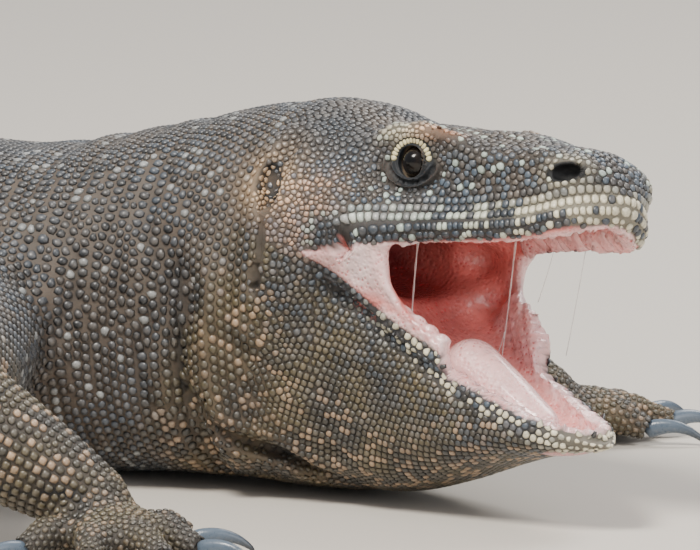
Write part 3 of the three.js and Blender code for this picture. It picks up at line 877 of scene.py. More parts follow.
def feature_distance(p):
    """How far a point is from the nearest eye or nostril."""
    u = local(p, HEAD)
    s = untwisted(u)
    side = mirrored(u)
    nose = mirrored(s)
    brow = to_line(side, RIDGE)[0] + 14
    eye = np.linalg.norm(side - EYE_AT - [0, 6, 0], axis=1)
    return np.minimum(np.minimum(eye, brow), np.linalg.norm(nose - NOSTRIL, axis=1) + 6)


points, _ = settled(skin, 1, 4)
hands = np.zeros(len(points), bool)
for name, (ends, _) in LIMBS.items():
    middle = over_floor(ends[2]) + heading(FEET[name][0]) * 45
    hands |= np.linalg.norm(points - middle, axis=1) < 85
near_mouth = (rim_distance(points) < 8.5) | (gum_distance(points) < 4)
split = refine(skin, hands | (feature_distance(points) < 22) | near_mouth)
points, _ = settled(skin, 1, 4)
split += refine(skin, feature_distance(points) < 15)
points, _ = settled(skin, 1, 3)
mouth = (rim_distance(points) < 14) | (gum_distance(points) < 8)
points, _ = settled(skin, 1, 8, 0.5, mouth)
points, _ = settled(skin, 1, 2, 0.3)


PUSH = 1.6  # how far a turned-over point is moved the way it faces


def unfold(obj, chosen, rounds):
    """Frees the places where the net has turned over, and lays them on the flesh again."""
    pairs = own, other = neighbours(obj)
    count = []
    for _ in range(rounds):
        points = points_of(obj)
        facing = np.empty(len(points) * 3, np.float32)
        obj.data.vertex_normals.foreach_get("vector", facing)
        facing = relax(facing.reshape(-1, 3).astype(float), pairs, 0.6, 2)
        bad = np.zeros(len(points), bool)
        _, normal = slopes(points[chosen])
        bad[chosen] = (facing[chosen] * normal).sum(-1) < 0.1
        count.append(int(bad.sum()))
        # a thin wall may hold them on its other side, so they go through it the way they face
        pushed = facing * bad[:, None] * PUSH
        for _ in range(3):
            bad = np.bincount(own, weights=bad[other], minlength=len(points)) > 0
        bad &= chosen
        points[bad] = (relax(points, pairs, 0.6, 4) + pushed)[bad]
        points[bad], _ = settle(points[bad], depth_at(points[bad]), 1, 1.2)
        move_points(obj, points)
    print("turned-over points in each round:", count)


unfold(skin, mouth, 12)
points = points_of(skin)
skin.data.calc_loop_triangles()
print("faces split:", split, "triangles in the skin:", len(skin.data.loop_triangles))
print("skin spans", points.min(0).round(), points.max(0).round())

# %% [markdown]
# ## Where the scales grow
# On the neck, trunk and tail the beads stand in upright rings, each ring half a bead out of step
# with the next. The limbs and fingers have rings too. Rows of shields run along the lips and
# round the eyes. Everything else is filled with beads at random, but never closer than their size
# allows, and smaller grains fill the creases. Last, each root lands on the nearest place of the
# net. A root too far from it bears no scale.

# %% Rows of roots
def around_section(form, at, pitch, shift):
    """Points round one section of a loft, evenly spaced, in its own left and height."""
    angle = np.linspace(0, 2 * np.pi, 241)
    c, s = np.cos(angle), np.sin(angle)
    top, bottom, half_width = form.top(at), form.bottom(at), form.width(at)
    n = np.where(s > 0, *form.powers)
    left = np.sign(c) * np.abs(c) ** (2 / n) * half_width
    height = (top + bottom) / 2 + np.sign(s) * np.abs(s) ** (2 / n) * (top - bottom) / 2
    run = np.concatenate([[0], np.cumsum(np.hypot(np.diff(left), np.diff(height)))])
    count = max(int(run[-1] / pitch), 5)
    place = (np.arange(count) + shift) / count * run[-1]
    return np.interp(place, run, left), np.interp(place, run, height)


def body_pitch(at):
    return np.interp(at, [0, 180, 320, 700, 900, 1400, 2330], [5.0, 5.3, 7.0, 7.2, 6.6, 5.6, 3.2])


def body_rows():
    at, rows, turn = 24.0, [], 0
    while at < 2322:
        pitch = float(body_pitch(at))
        left, height = around_section(body_form, at, pitch, 0.5 * (turn % 2))
        point, _, out = on_spine(np.full(len(left), at))
        xy = point + left[:, None] * out
        rows.append(np.column_stack([xy, height + FLOOR, np.full(len(left), pitch)]))
        at += pitch * 0.9
        turn += 1
    return np.vstack(rows)


def rod_rows(start, end, r0, r1, pitch, begin=0.0, finish=1.0):
    start, end = np.array(start, float), np.array(end, float)
    way = (end - start) / np.linalg.norm(end - start)
    side = np.cross([0, 0, 1], way)
    side /= np.linalg.norm(side)
    over = np.cross(way, side)
    length, rows = np.linalg.norm(end - start), []
    for turn, run in enumerate(np.arange(begin * length, finish * length, pitch * 0.9)):
        radius = r0 + (r1 - r0) * run / length
        count = max(int(2 * np.pi * radius / pitch), 5)
        a = (np.arange(count) + 0.5 * (turn % 2)) / count * 2 * np.pi
        ring = start + way * run + radius * (np.cos(a)[:, None] * side + np.sin(a)[:, None] * over)
        rows.append(np.column_stack([ring, np.full(count, pitch)]))
    return np.vstack(rows)


def limb_rows():
    rows = []
    for name, (points, (r0, r1, r2, r3)) in LIMBS.items():
        a, b, c = (over_floor(point) for point in points)
        pitch = 5.6 if "arm" in name else 6.4
        rows.append(rod_rows(b, c, r2, r3, pitch * 0.94, 0.05, 1))
        rows.append(rod_rows(a, b, r0, r1, pitch, 0.1, 0.95))
        for finger, _ in digits_of(name):
            rows.append(rod_rows(finger[1], finger[2], 8.7, 7.4, 3.9, 0, 1.02))
            rows.append(rod_rows(finger[0], finger[1], 9.8, 8.7, 4.2, 0.1, 1))
    return np.vstack(rows)


def lip_row(width, end, cap, begin, pitch, height, place=None, shift=0.0):
    """A row of shields round the edge of a jaw seen from above, from one corner to the other."""
    x = np.linspace(begin, end, 500)
    c = np.clip((x - end + cap) / cap, 0, 1)
    y = width(x) * np.sqrt(1 - c**2)
    x, y = np.concatenate([x, x[::-1]]), np.concatenate([y, -y[::-1]])
    run = np.concatenate([[0], np.cumsum(np.hypot(np.diff(x), np.diff(y)))])
    at = np.arange(pitch * (0.5 + shift), run[-1], pitch)
    x, y = np.interp(at, run, x), np.interp(at, run, y)
    points = np.column_stack([x, y, height(x)])
    points = place(points) if place else points
    return points, np.full(len(points), pitch * 1.02)


UPPER_LIP_ROWS = [  # height over the lip's edge, pitch, where it begins, how much wider than the pitch
    (4.0, 3.2, 10, 1.56), (10.2, 4.2, 14, 1.4), (15.4, 4.4, 24, 1.2), (20.0, 4.2, 60, 1.15),
]
LOWER_LIP_ROWS = [(1.2, 4.2, 12), (5.8, 4.2, 14), (10.2, 4.1, 20)]  # drop below the edge, pitch, begin
LID_RINGS = [(9.9, 1.95, 8, 174), (13.2, 2.6, 0, 184)]  # radius, pitch, first and last degree


def head_rows():
    rows = []
    for rise, pitch, begin, wide_by in UPPER_LIP_ROWS:
        points, size = lip_row(
            upper_width, HEAD_END, HEAD_ROUND, begin, pitch,
            lambda x: lip_height(x) + rise, twisted, rise / 20,
        )
        rows.append(np.column_stack([points @ HEAD.T, size * wide_by]))
    for drop, pitch, begin in LOWER_LIP_ROWS:
        points, size = lip_row(
            jaw_width, JAW_END, JAW_ROUND, begin, pitch,
            lambda x: jaw_top(x) - drop, None, drop / 20,
        )
        rows.append(np.column_stack([points @ JAW.T, size]))
    for side in (1, -1):
        for radius, pitch, low, high in LID_RINGS:
            a = np.radians(np.arange(low, high, math.degrees(pitch / radius)))
            ring = np.column_stack([radius * 1.15 * np.cos(a), np.full(len(a), 7.0), radius * np.sin(a)])
            points = (ring + EYE_AT) * [1, side, 1]
            rows.append(np.column_stack([points @ HEAD.T, np.full(len(a), 3.0)]))
        a = np.radians(np.arange(0, 360, 30))
        rim = np.column_stack([151 + 8.2 * np.cos(a), np.full(12, 31.0), 22.8 + 5.2 * np.sin(a)])
        rim = rim * [1, side, 1]
        rows.append(np.column_stack([twisted(rim) @ HEAD.T, np.full(12, 4.0)]))
    # on the throat the rows run along the jaw
    for at in np.arange(-24.0, 172.0, 3.2):
        left, height = around_section(jaw_form, at, 3.7, 0.0)
        low = height < jaw_top(np.full(len(height), at)) - 13
        ring = np.column_stack([np.full(low.sum(), at), left[low], height[low]]) @ JAW.T
        rows.append(np.column_stack([ring, np.full(len(ring), 3.6)]))
    return np.vstack(rows)


# %% How large the beads are where none stand in rows
def bead_size(p):
    u, v = local(p, HEAD), local(p, JAW)
    at, _ = along_spine(p)
    size = body_pitch(at)
    x, y, z = u[:, 0], np.abs(u[:, 1]), u[:, 2]
    on_head = step(-38, -20, x)
    crown = np.interp(x, [-60, 0, 60, 100, 190], [4.2, 4.2, 3.9, 4.0, 3.7])
    cheek = step(48, 28, z) * step(52, 34, x)
    head = crown + (3.0 - crown) * cheek
    from_eye = np.linalg.norm(np.stack([x, y, z], axis=-1) - EYE_AT, axis=1)
    head = np.minimum(head, np.interp(from_eye, [12, 16, 26], [2.0, 2.5, 5]))
    throat = np.interp(v[:, 0], [-40, 60, 130, 183], [3.7, 3.7, 3.9, 4.1])
    under = step(-2, -12, u[:, 2] + 0.3 * u[:, 0])
    size = size + (head + (throat - head) * under - size) * on_head
    for name, (points, _) in LIMBS.items():
        hand = over_floor(points[2]) + heading(FEET[name][0]) * 30
        size = np.minimum(size, np.interp(np.linalg.norm(p - hand, axis=1), [40, 90], [3.9, 7.5]))
    return size


# %% Random roots on the skin
def random_points(obj, count):
    """Points on a mesh, closer together where the beads are small."""
    mesh = obj.data
    mesh.calc_loop_triangles()
    corners = np.empty(len(mesh.loop_triangles) * 3, np.int32)
    mesh.loop_triangles.foreach_get("vertices", corners)
    a, b, c = points_of(obj)[corners.reshape(-1, 3)].transpose(1, 0, 2)
    middle = (a + b + c) / 3
    dryness = np.maximum(1.001 - wetness(middle), 0.9 * (wetness(middle, 5.0) < 0.97))
    share = np.linalg.norm(np.cross(b - a, c - a), axis=1) / bead_size(middle) ** 2 * dryness
    share *= np.where(middle[:, 0] > -75, 8, 1)  # no rows stand on the head
    pick = rng.choice(len(share), count, p=share / share.sum())
    s, t = rng.random((2, count, 1))
    s, t = np.where(s + t > 1, 1 - s, s), np.where(s + t > 1, 1 - t, t)
    return a[pick] + s * (b - a)[pick] + t * (c - a)[pick]


def spread(points, size, share):
    """Keeps each point in turn that has no kept one nearer than its share of their sizes."""
    cell = 7.2
    keys = np.floor(points / cell).astype(int)
    grid, kept = {}, []
    around = [(i, j, k) for i in (-1, 0, 1) for j in (-1, 0, 1) for k in (-1, 0, 1)]
    places, sizes = points.tolist(), size.tolist()
    for n, (i, j, k) in enumerate(keys.tolist()):
        x, y, z = places[n]
        s = sizes[n] * share[n] * 0.5
        free = True
        for di, dj, dk in around:
            for m in grid.get((i + di, j + dj, k + dk), ()):
                q = places[m]
                limit = s + sizes[m] * share[n] * 0.5
                if (x - q[0]) ** 2 + (y - q[1]) ** 2 + (z - q[2]) ** 2 < limit * limit:
                    free = False
                    break
            if not free:
                break
        if free:
            grid.setdefault((i, j, k), []).append(n)
            kept.append(n)
    return np.array(kept)


def settle_roots(rows, limit):
    points, normal = settle(rows[:, :3], SCALE_DEPTH, 4, 5.0)
    away, _ = slopes(points)
    moved = np.linalg.norm(points - rows[:, :3], axis=1)
    good = (moved < limit) & (np.abs(away + SCALE_DEPTH) < 0.4)
    return points[good], normal[good], rows[good, 3]


# %% All the roots
shields = settle_roots(head_rows(), 14)
strips = settle_roots(limb_rows(), 9)
beads = settle_roots(body_rows(), 16)
loose = random_points(skin, 200000)
loose, loose_normal = settle(loose, SCALE_DEPTH, 1)
loose_size = bead_size(loose)
fill = (loose, loose_normal, loose_size)
gaps = np.flatnonzero(loose[:, 0] > -330)[::2]  # small grains fill the bare creases
grains = (loose[gaps], loose_normal[gaps], loose_size[gaps] * 0.66)
roots, root_normals, sizes = (np.concatenate(parts) for parts in zip(shields, strips, beads, fill, grains))
counts = [len(group[0]) for group in (shields, strips, beads, fill, grains)]
share = np.repeat([0.62, 0.8, 0.82, 0.8, 0.84], counts)
rank = np.repeat([0, 1, 2, 3, 4], counts)
dry = wetness(roots) < 0.5
side = mirrored(local(roots, HEAD)) - EYE_AT
off_eye = (np.linalg.norm(side, axis=1) > 8.6) & (nostrils(untwisted(local(roots, HEAD))) > 1.8)
lower_lid = (np.hypot(side[:, 0] / 1.25, side[:, 2]) < 14.5) & (side[:, 2] < 0) & (side[:, 1] > -8)
lid_rows = (np.hypot(side[:, 0] / 1.15, side[:, 2]) < 14.4) & (side[:, 1] > -8) & (rank > 0)
back_rows = (rank == 2) & (local(roots, HEAD)[:, 0] > -22) & (roots[:, 0] > -60)
shown = dry & off_eye & ~lower_lid  # the other roots bear no scale but bound their neighbours
s = untwisted(local(roots, HEAD))
rise = s[:, 2] - lip_height(s[:, 0])
on_lip = (rank > 0) & (rise > 0.5) & (rise < 17) & (s[:, 0] > 26) & (head_plan(s[:, 0], s[:, 1]) > -5)
keep = ~back_rows & (shown | (rank == 3)) & ~lid_rows & ~on_lip
roots, root_normals, sizes, share, rank, shown = (
    a[keep] for a in (roots, root_normals, sizes, share, rank, shown)
)
kept = spread(roots, sizes, share)
roots, root_normals, sizes, rank, shown = (a[kept] for a in (roots, root_normals, sizes, rank, shown))


def net_tree(obj):
    obj.data.calc_loop_triangles()
    corners = np.empty(len(obj.data.loop_triangles) * 3, np.int32)
    obj.data.loop_triangles.foreach_get("vertices", corners)
    return bvhtree.BVHTree.FromPolygons(points_of(obj).tolist(), corners.reshape(-1, 3).tolist())


def landed_on(tree, points, normal, limit):
    """The nearest places of the net, and whether each is close and faces the same way."""
    places, good = points.copy(), np.zeros(len(points), bool)
    for i, (point, way) in enumerate(zip(points.tolist(), normal.tolist())):
        place, facing, _, away = tree.find_nearest(point)
        if away < limit and facing.x * way[0] + facing.y * way[1] + facing.z * way[2] > 0.2:
            places[i], good[i] = place, True
    return places, good


NET = net_tree(skin)
ROOT_REACH, EDGE_REACH = 3.5, 2.5  # how far from the net a root and a scale's edge may be to land
roots, landed = landed_on(NET, roots, root_normals, ROOT_REACH)
shown &= landed & (wetness(roots) < 0.5)
print("roots that could not land:", int((~landed).sum()))
print("roots by kind:", [int((rank == k).sum()) for k in range(5)], "all", len(roots))

# %% [markdown]
# ## Colours of the animal
# Slate grey beads lie on sandy skin. The brow and the lids are cream and peach, the throat is
# olive brown, the lips carry dark and cream shields, and the limbs have wavy pale bands. One
# function gives the colour of any place, so skin and scales carry the same markings.

# %% Markings
def mottle(p, size, seed):
    """A smooth, even, random value from 0 to 1 over space, with spots of about the given size."""
    source = np.random.default_rng(seed)
    value = np.zeros(len(p))
    for _ in range(7):
        way = source.normal(size=3)
        way *= 2 * np.pi / (size * 2) * source.uniform(0.6, 1.5) / np.linalg.norm(way)
        value += np.sin(p @ way + source.uniform(0, 6.3))
    return step(-1, 1, value / 3.2)


SLATE = np.array([0.025, 0.030, 0.036])
DARK = np.array([0.010, 0.012, 0.015])
PALE = np.array([0.36, 0.37, 0.36])
BLUE = np.array([0.045, 0.066, 0.092])
UMBER = np.array([0.098, 0.072, 0.049])
OLIVE = np.array([0.100, 0.078, 0.036])
SAND = np.array([0.50, 0.33, 0.20])
CREAM = np.array([0.72, 0.66, 0.48])
PEACH = np.array([0.66, 0.33, 0.17])
MINT = np.array([0.47, 0.56, 0.49])


def mix(a, b, share):
    share = np.asarray(share, float).reshape(-1, 1)
    return a * (1 - share) + b * share


def markings(p, luck):
    """Colours for points; luck is one random number from 0 to 1 for each of them."""
    at, left = along_spine(p)
    z = p[:, 2] - FLOOR
    other = (luck * 7.13) % 1
    color = mix(np.tile(SLATE, (len(p), 1)), UMBER, 0.75 * mottle(p, 60, 3) * (0.4 + 0.6 * other))
    color = mix(color, BLUE, 0.55 * mottle(p, 35, 4) * (luck > 0.45))
    color = mix(color, DARK, 0.8 * (luck < 0.22))
    color = mix(color, PALE, 0.5 * (luck > 0.93))
    bands = step(0.35, 0.9, np.sin(at / 34.0 + 1.5 * mottle(p, 60, 5) * 3) * 0.5 + 0.5) * step(880, 1000, at)
    color = mix(color, UMBER * 1.3, 0.5 * bands)
    color = mix(color, SAND * 0.8, 0.55 * step(60, 10, z) * step(150, 300, at))
    for name, (points, _) in LIMBS.items():
        a, b, c = (over_floor(point) for point in points)
        off, run = to_line(p, [a, b, c, c + heading(FEET[name][0]) * 90])
        on_limb = step(75, 45, off) * step(0.12, 0.3, run)
        wave = np.sin(run * 95 + 2.2 * np.sin(p[:, 1] / 11.0) + 2.0 * mottle(p, 30, 6))
        band = 0.12 + 0.75 * step(-0.2, 0.8, wave) * (0.6 + 0.4 * other)
        limb = mix(mix(color, SLATE * 1.5, 0.8), PALE * [1.0, 0.93, 0.82], band)
        limb = mix(limb, DARK * 1.6, 0.5 * (luck < 0.2))
        color = mix(color, limb, on_limb)
    return head_markings(p, color, luck, other)


def head_markings(p, color, luck, other):
    u, v = local(p, HEAD), local(p, JAW)
    s = untwisted(u)
    x, y, z = s[:, 0], np.abs(s[:, 1]), s[:, 2]
    head = step(-30, -12, x) * step(-16, -4, z + 0.25 * x)
    top = np.tile(SLATE * 1.25, (len(p), 1))
    top = mix(top, UMBER * 1.15, 0.6 * mottle(p, 26, 8))
    top = mix(top, BLUE * 1.15, 0.9 * (luck > 0.5) * step(46, 30, z))
    top = mix(top, DARK * 1.2, 0.7 * (luck < 0.2))
    top = mix(top, MINT, 0.7 * (luck > 0.9) * step(20, 50, x))
    cheek = step(36, 22, z) * step(34, 14, x) * step(-26, -12, x)
    top = mix(top, SAND * [1.1, 1.0, 1.05], cheek * (0.2 + 0.45 * (other > 0.55)))
    color = mix(color, top, head)
    ear = bump(np.linalg.norm(np.stack([x, y, z], axis=-1) - [-17, 66, 24], axis=1), 15)
    color = mix(color, PEACH * [1.0, 1.35, 1.5], 0.85 * ear * (other > 0.2))
    lip = z - lip_height(x)
    labial = step(19, 11, lip) * step(-4, 0, lip) * step(2, 16, x)
    pale = step(5.5, 9, lip) * 0.30 + 0.14 + 0.36 * step(70, 160, x)
    dark_shield = mix(DARK[None] * 1.6, BLUE * 0.8, luck)
    pale_shield = mix(MINT[None] * 0.8, CREAM * 0.85, step(60, 150, x))
    shield = mix(dark_shield, pale_shield, (other < pale) * 0.9)
    dusty = step(8, 11, lip) * step(16, 30, x) * step(84, 60, x)
    shield = mix(shield, PALE * [1.25, 1.2, 1.12], 0.6 * dusty * (0.4 + 0.6 * luck))
    color = mix(color, shield, labial)
    tip = 0.75 * step(148, 170, x) * step(2, -1, v[:, 2] - 60) * (luck > 0.25) * step(-3, 0, lip)
    color = mix(color, CREAM * 0.85, tip)
    nose = bump(np.hypot(x - 151, (z - 22.8) * 1.3), 10) * step(15, 22, y)
    color = mix(color, CREAM, 0.85 * nose)
    eye = np.stack([x, y, z], axis=-1) - EYE_AT
    ring = np.hypot(eye[:, 0] / 1.2, eye[:, 2])
    lids = step(12.6, 11.2, ring) * step(-14, -6, eye[:, 1])
    color = mix(color, mix(CREAM[None] * [1, 0.97, 0.75], DARK * 1.6, step(2, -4, eye[:, 2])), 0.85 * lids)
    ridge = bump(z - 50, 3.8) * bump(y - 41, 7) * step(32, 42, x) * step(96, 84, x)
    color = mix(color, mix(CREAM[None], PEACH * [1, 0.9, 0.8], step(45, 80, x)), 0.95 * ridge)
    return throat_markings(p, color, v, luck, other)


def throat_markings(p, color, v, luck, other):
    x, y, z = v.T
    throat = step(-46, -20, x) * step(-1, -9, z) * step(-30, -4, -local(p, HEAD)[:, 2] - 10)
    brown = mix(OLIVE[None] * 0.8, DARK * 1.3, 0.75 * mottle(p, 18, 11))
    brown = mix(brown, SAND * 0.9, 0.55 * (luck > 0.72) * mottle(p, 40, 12))
    brown = mix(brown, BLUE * 0.7, 0.6 * (other > 0.6) * step(-70, -30, z))
    color = mix(color, brown, throat)
    lip = z - jaw_top(x)
    labial = step(-17, -8, lip) * step(4, 0, lip) * step(8, 20, x)
    shield = mix(mix(BLUE[None], DARK * 1.2, luck < 0.35), CREAM * 0.95, (other > 0.5) * step(20, 90, x))
    color = mix(color, shield, labial * 0.92)
    chin = step(150, 176, x) * step(-30, -14, z)
    return mix(color, CREAM * 0.8, 0.7 * chin * (luck > 0.3))


# %% [markdown]
# ## The scales
# A scale fills the ground that is nearer to its root than to any other, less a narrow gap. In
# each of a few directions its edge is where that border lies, landed on the net. Over this
# outline rises a low dome. Large ones on the head have one more ring of faces. Each closed shell
# is joined to its region's coat.

# %% Outlines from the neighbours
def tangents(normal, back):
    first = back - (back * normal).sum(-1, keepdims=True) * normal
    first /= np.linalg.norm(first, axis=1, keepdims=True) + 1e-9
    return first, np.cross(normal, first)


def nearest_roots(points, count):
    tree = kdtree.KDTree(len(points))
    for i, point in enumerate(points.tolist()):
        tree.insert(point, i)
    tree.balance()
    return np.array([[hit[1] for hit in tree.find_n(point, count + 1)][1:] for point in points.tolist()])


BACK = np.column_stack([on_spine(along_spine(roots)[0])[1], np.zeros(len(roots))])
NEAR = nearest_roots(roots, 9)
around_normal = root_normals[NEAR[:, :4]].mean(axis=1)
around_normal /= np.linalg.norm(around_normal, axis=1, keepdims=True) + 1e-9
agree = (root_normals * around_normal).sum(axis=-1) > 0.25
roots, root_normals, sizes, rank, shown, BACK = (
    a[agree] for a in (roots, root_normals, sizes, rank, shown, BACK)
)
FIRST, SECOND = tangents(root_normals, BACK)
NEAR = nearest_roots(roots, 9)
LUCK = rng.random(len(roots))
TINT = markings(roots, LUCK) * (0.8 + 0.4 * rng.random((len(roots), 1)))
print("roots with neighbours:", NEAR.shape)

# %% Regions
u_all = local(roots, HEAD)
at_all, _ = along_spine(roots)
region = np.full(len(roots), "trunk_front", dtype=object)
region[at_all < 190] = "neck"
region[at_all > 440] = "trunk_rear"
region[at_all > 700] = "hip"
region[at_all > 865] = "tail_base"
region[at_all > 1320] = "tail"
for name, (ends, radii) in LIMBS.items():
    a, b, c = (over_floor(point) for point in ends)
    line = [a + 0.25 * (b - a), b, c, c + heading(FEET[name][0]) * 90]
    off, _ = to_line(roots, line)
    region[off < radii[1] + 16] = name
ahead = (u_all[:, 0] > -24) & (np.abs(roots[:, 1]) < 110) & (roots[:, 0] > -70)
below = u_all[:, 2] + 0.3 * u_all[:, 0] < -4
region[ahead & ~below] = "head"
region[ahead & ~below & (u_all[:, 0] > 72)] = "snout"
region[ahead & below] = "throat"
FINE = {
    "head": (9, True), "snout": (9, True), "throat": (9, True),
    "neck": (8, False), "right_arm": (8, False), "left_arm": (8, False),
}
print({name: int((region == name).sum()) for name in dict.fromkeys(region)})


# %% Building a coat
def unwrap_place(name, p):
    """A place from 0 to 1 on a simple unwrap of the region: along it, and round it."""
    if name in ("head", "snout", "throat"):
        q = local(p, JAW if name == "throat" else HEAD)
        along, round_ = q[:, 0], np.arctan2(q[:, 2] - (-50 if name == "throat" else 15), q[:, 1])
    elif name in LIMBS:
        a, b, c = (over_floor(point) for point in LIMBS[name][0])
        off, along = to_line(p, [a, b, c, c + heading(FEET[name][0]) * 90])
        way = (c - a) / np.linalg.norm(c - a)
        side = np.cross(way, [0, 0, 1])
        middle = np.stack([
            np.interp(along, [0, 1 / 3, 2 / 3, 1], [a[k], b[k], c[k], c[k] + 60 * way[k]]) for k in range(3)
        ], axis=-1)
        round_ = np.arctan2((p - middle)[:, 2], (p - middle) @ side)
    else:
        along, left = along_spine(p)
        round_ = np.arctan2(p[:, 2] - FLOOR - (body_form.top(along) + body_form.bottom(along)) / 2, left)
    along = (along - along.min()) / (np.ptp(along) + 1e-9)
    return np.column_stack([0.01 + 0.98 * along, 0.01 + 0.98 * (round_ + np.pi) / (2 * np.pi)])


PATCH = 0.0015


def coat(name, chosen, corners, rich):
    p, n, size = roots[chosen], root_normals[chosen], sizes[chosen]
    first, second = FIRST[chosen], SECOND[chosen]
    reach, ways = outlines_for(chosen, corners)
    gap = 0.10 + 0.03 * size[:, None]
    reach = np.maximum(reach - gap, 0.35)
    mean = reach.mean(axis=1, keepdims=True)
    lift = np.clip(0.52 * mean[:, 0], 0.5, 1.9)
    if rich:
        levels = ((1.0, -0.35, 0.0), (0.94, 0.5, 0.45), (0.62, 0.88, 0.8))
    else:
        levels = ((1.0, -0.35, 0.0), (0.76, 0.72, 0.6))
    rounder = 0.35 * mean + 0.65 * reach
    lean = 0.10 * np.cos(ways)[None, :]
    spokes = np.cos(ways)[None, :, None] * first[:, None] + np.sin(ways)[None, :, None] * second[:, None]
    edge = p[:, None] + reach[..., None] * spokes
    landed, _ = landed_on(NET, edge.reshape(-1, 3), np.repeat(n, corners, axis=0), EDGE_REACH)
    bend = landed.reshape(edge.shape) - edge
    rings, uvs, crowns = [], [], []
    root_uv = unwrap_place(name, p)
    for share, height, crown in levels:
        radius = (reach if share == 1.0 else rounder) * share
        flat = radius[..., None] * spokes
        up = (height + lean * (height > 0)) * lift[:, None]
        rings.append(p[:, None] + flat + share**2 * bend + up[..., None] * n[:, None])
        uvs.append(root_uv[:, None] + PATCH * share * np.stack([np.cos(ways), np.sin(ways)], axis=-1)[None])
        crowns.append(np.full((len(p), corners), crown))
    apex = p + (lift * 1.02)[:, None] * n + 0.08 * mean * first
    points = np.concatenate(rings + [apex[:, None]], axis=1)
    uv = np.concatenate(uvs + [root_uv[:, None]], axis=1)
    crown = np.concatenate(crowns + [np.ones((len(p), 1))], axis=1)
    points[..., 2] = np.maximum(points[..., 2], FLOOR + 0.15)
    per = points.shape[1]
    faces = scale_faces(corners, len(levels))
    mesh = bpy.data.meshes.new("coat_" + name)
    fill_mesh(mesh, points.reshape(-1, 3), faces, len(p), per)
    flat_uv = uv.reshape(-1, 2)
    loops = np.empty(len(mesh.loops), np.int32)
    mesh.loops.foreach_get("vertex_index", loops)
    mesh.uv_layers.new(name="OFBake").data.foreach_set("uv", flat_uv[loops].astype(np.float32).ravel())
    tint = np.concatenate([TINT[chosen], np.ones((len(p), 1))], axis=1)
    paint(mesh, "tint", np.repeat(tint, per, axis=0))
    value(mesh, "crown", crown.ravel())
    obj = bpy.data.objects.new("coat_" + name, mesh)
    bpy.context.collection.objects.link(obj)
    return obj


def outlines_for(chosen, corners):
    offset_roots = roots[NEAR[chosen]]
    p = roots[chosen]
    offset = offset_roots - p[:, None, :]
    a = (offset * FIRST[chosen][:, None, :]).sum(-1)
    b = (offset * SECOND[chosen][:, None, :]).sum(-1)
    half, angle = np.hypot(a, b) / 2, np.arctan2(b, a)
    ways = (np.arange(corners) + 0.5) / corners * 2 * np.pi
    facing = np.cos(ways[None, :, None] - angle[:, None, :])
    reach = np.where(facing > 0.15, half[:, None, :] / np.maximum(facing, 0.15), 1e3).min(-1)
    return np.minimum(reach, sizes[chosen][:, None] * 0.72), ways


def scale_faces(corners, levels):
    faces = []
    for ring in range(levels - 1):
        for k in range(corners):
            a, b = ring * corners + k, ring * corners + (k + 1) % corners
            faces.append((a, b, b + corners, a + corners))
    last, apex = (levels - 1) * corners, levels * corners
    faces += [(last + k, last + (k + 1) % corners, apex) for k in range(corners)]
    faces.append(tuple(range(corners))[::-1])
    return faces


def fill_mesh(mesh, points, faces, copies, stride):
    """Writes many copies of one small shell into a mesh at once."""
    counts = np.array([len(f) for f in faces])
    corner = np.concatenate(faces)
    loops = (corner[None] + stride * np.arange(copies)[:, None]).ravel()
    starts = np.concatenate([[0], np.cumsum(counts)[:-1]])
    starts = (starts[None] + counts.sum() * np.arange(copies)[:, None]).ravel()
    mesh.vertices.add(len(points))
    mesh.vertices.foreach_set("co", metres(points).astype(np.float32).ravel())
    mesh.loops.add(len(loops))
    mesh.loops.foreach_set("vertex_index", loops.astype(np.int32))
    mesh.polygons.add(len(starts))
    mesh.polygons.foreach_set("loop_start", starts.astype(np.int32))
    mesh.polygons.foreach_set("use_smooth", np.ones(len(starts), bool))
    mesh.update(calc_edges=True)
    mesh.validate()


def paint(mesh, name, colors):
    layer = mesh.color_attributes.new(name, "FLOAT_COLOR", "POINT")
    layer.data.foreach_set("color", colors.astype(np.float32).ravel())


def value(mesh, name, values):
    layer = mesh.attributes.new(name, "FLOAT", "POINT")
    layer.data.foreach_set("value", values.astype(np.float32).ravel())


coats = {}
for name in sorted(set(region)):
    chosen = np.nonzero((region == name) & shown)[0]
    corners, rich = FINE.get(name, (7, False))
    coats[name] = coat(name, chosen, corners, rich)
    coats[name].data.calc_loop_triangles()
    print("coat", name, len(chosen), "scales,", len(coats[name].data.loop_triangles), "triangles")

# %% [markdown]
# ## Colours of the skin and of the mouth
# Between the scales the skin is sandy and dull, with painted shade in its creases, the ear
# opening and the nostrils. In the mouth it is wet: salmon red on the palate, maroon down the
# throat, partly painted shade where the gullet opens, and whitish pink on the web, the gums and
# the tongue.

# %% Paint on the skin
SALMON = np.array([0.86, 0.27, 0.24])
MAROON = np.array([0.22, 0.03, 0.035])
ROSE = np.array([0.83, 0.42, 0.40])
MILK = np.array([0.95, 0.70, 0.69])


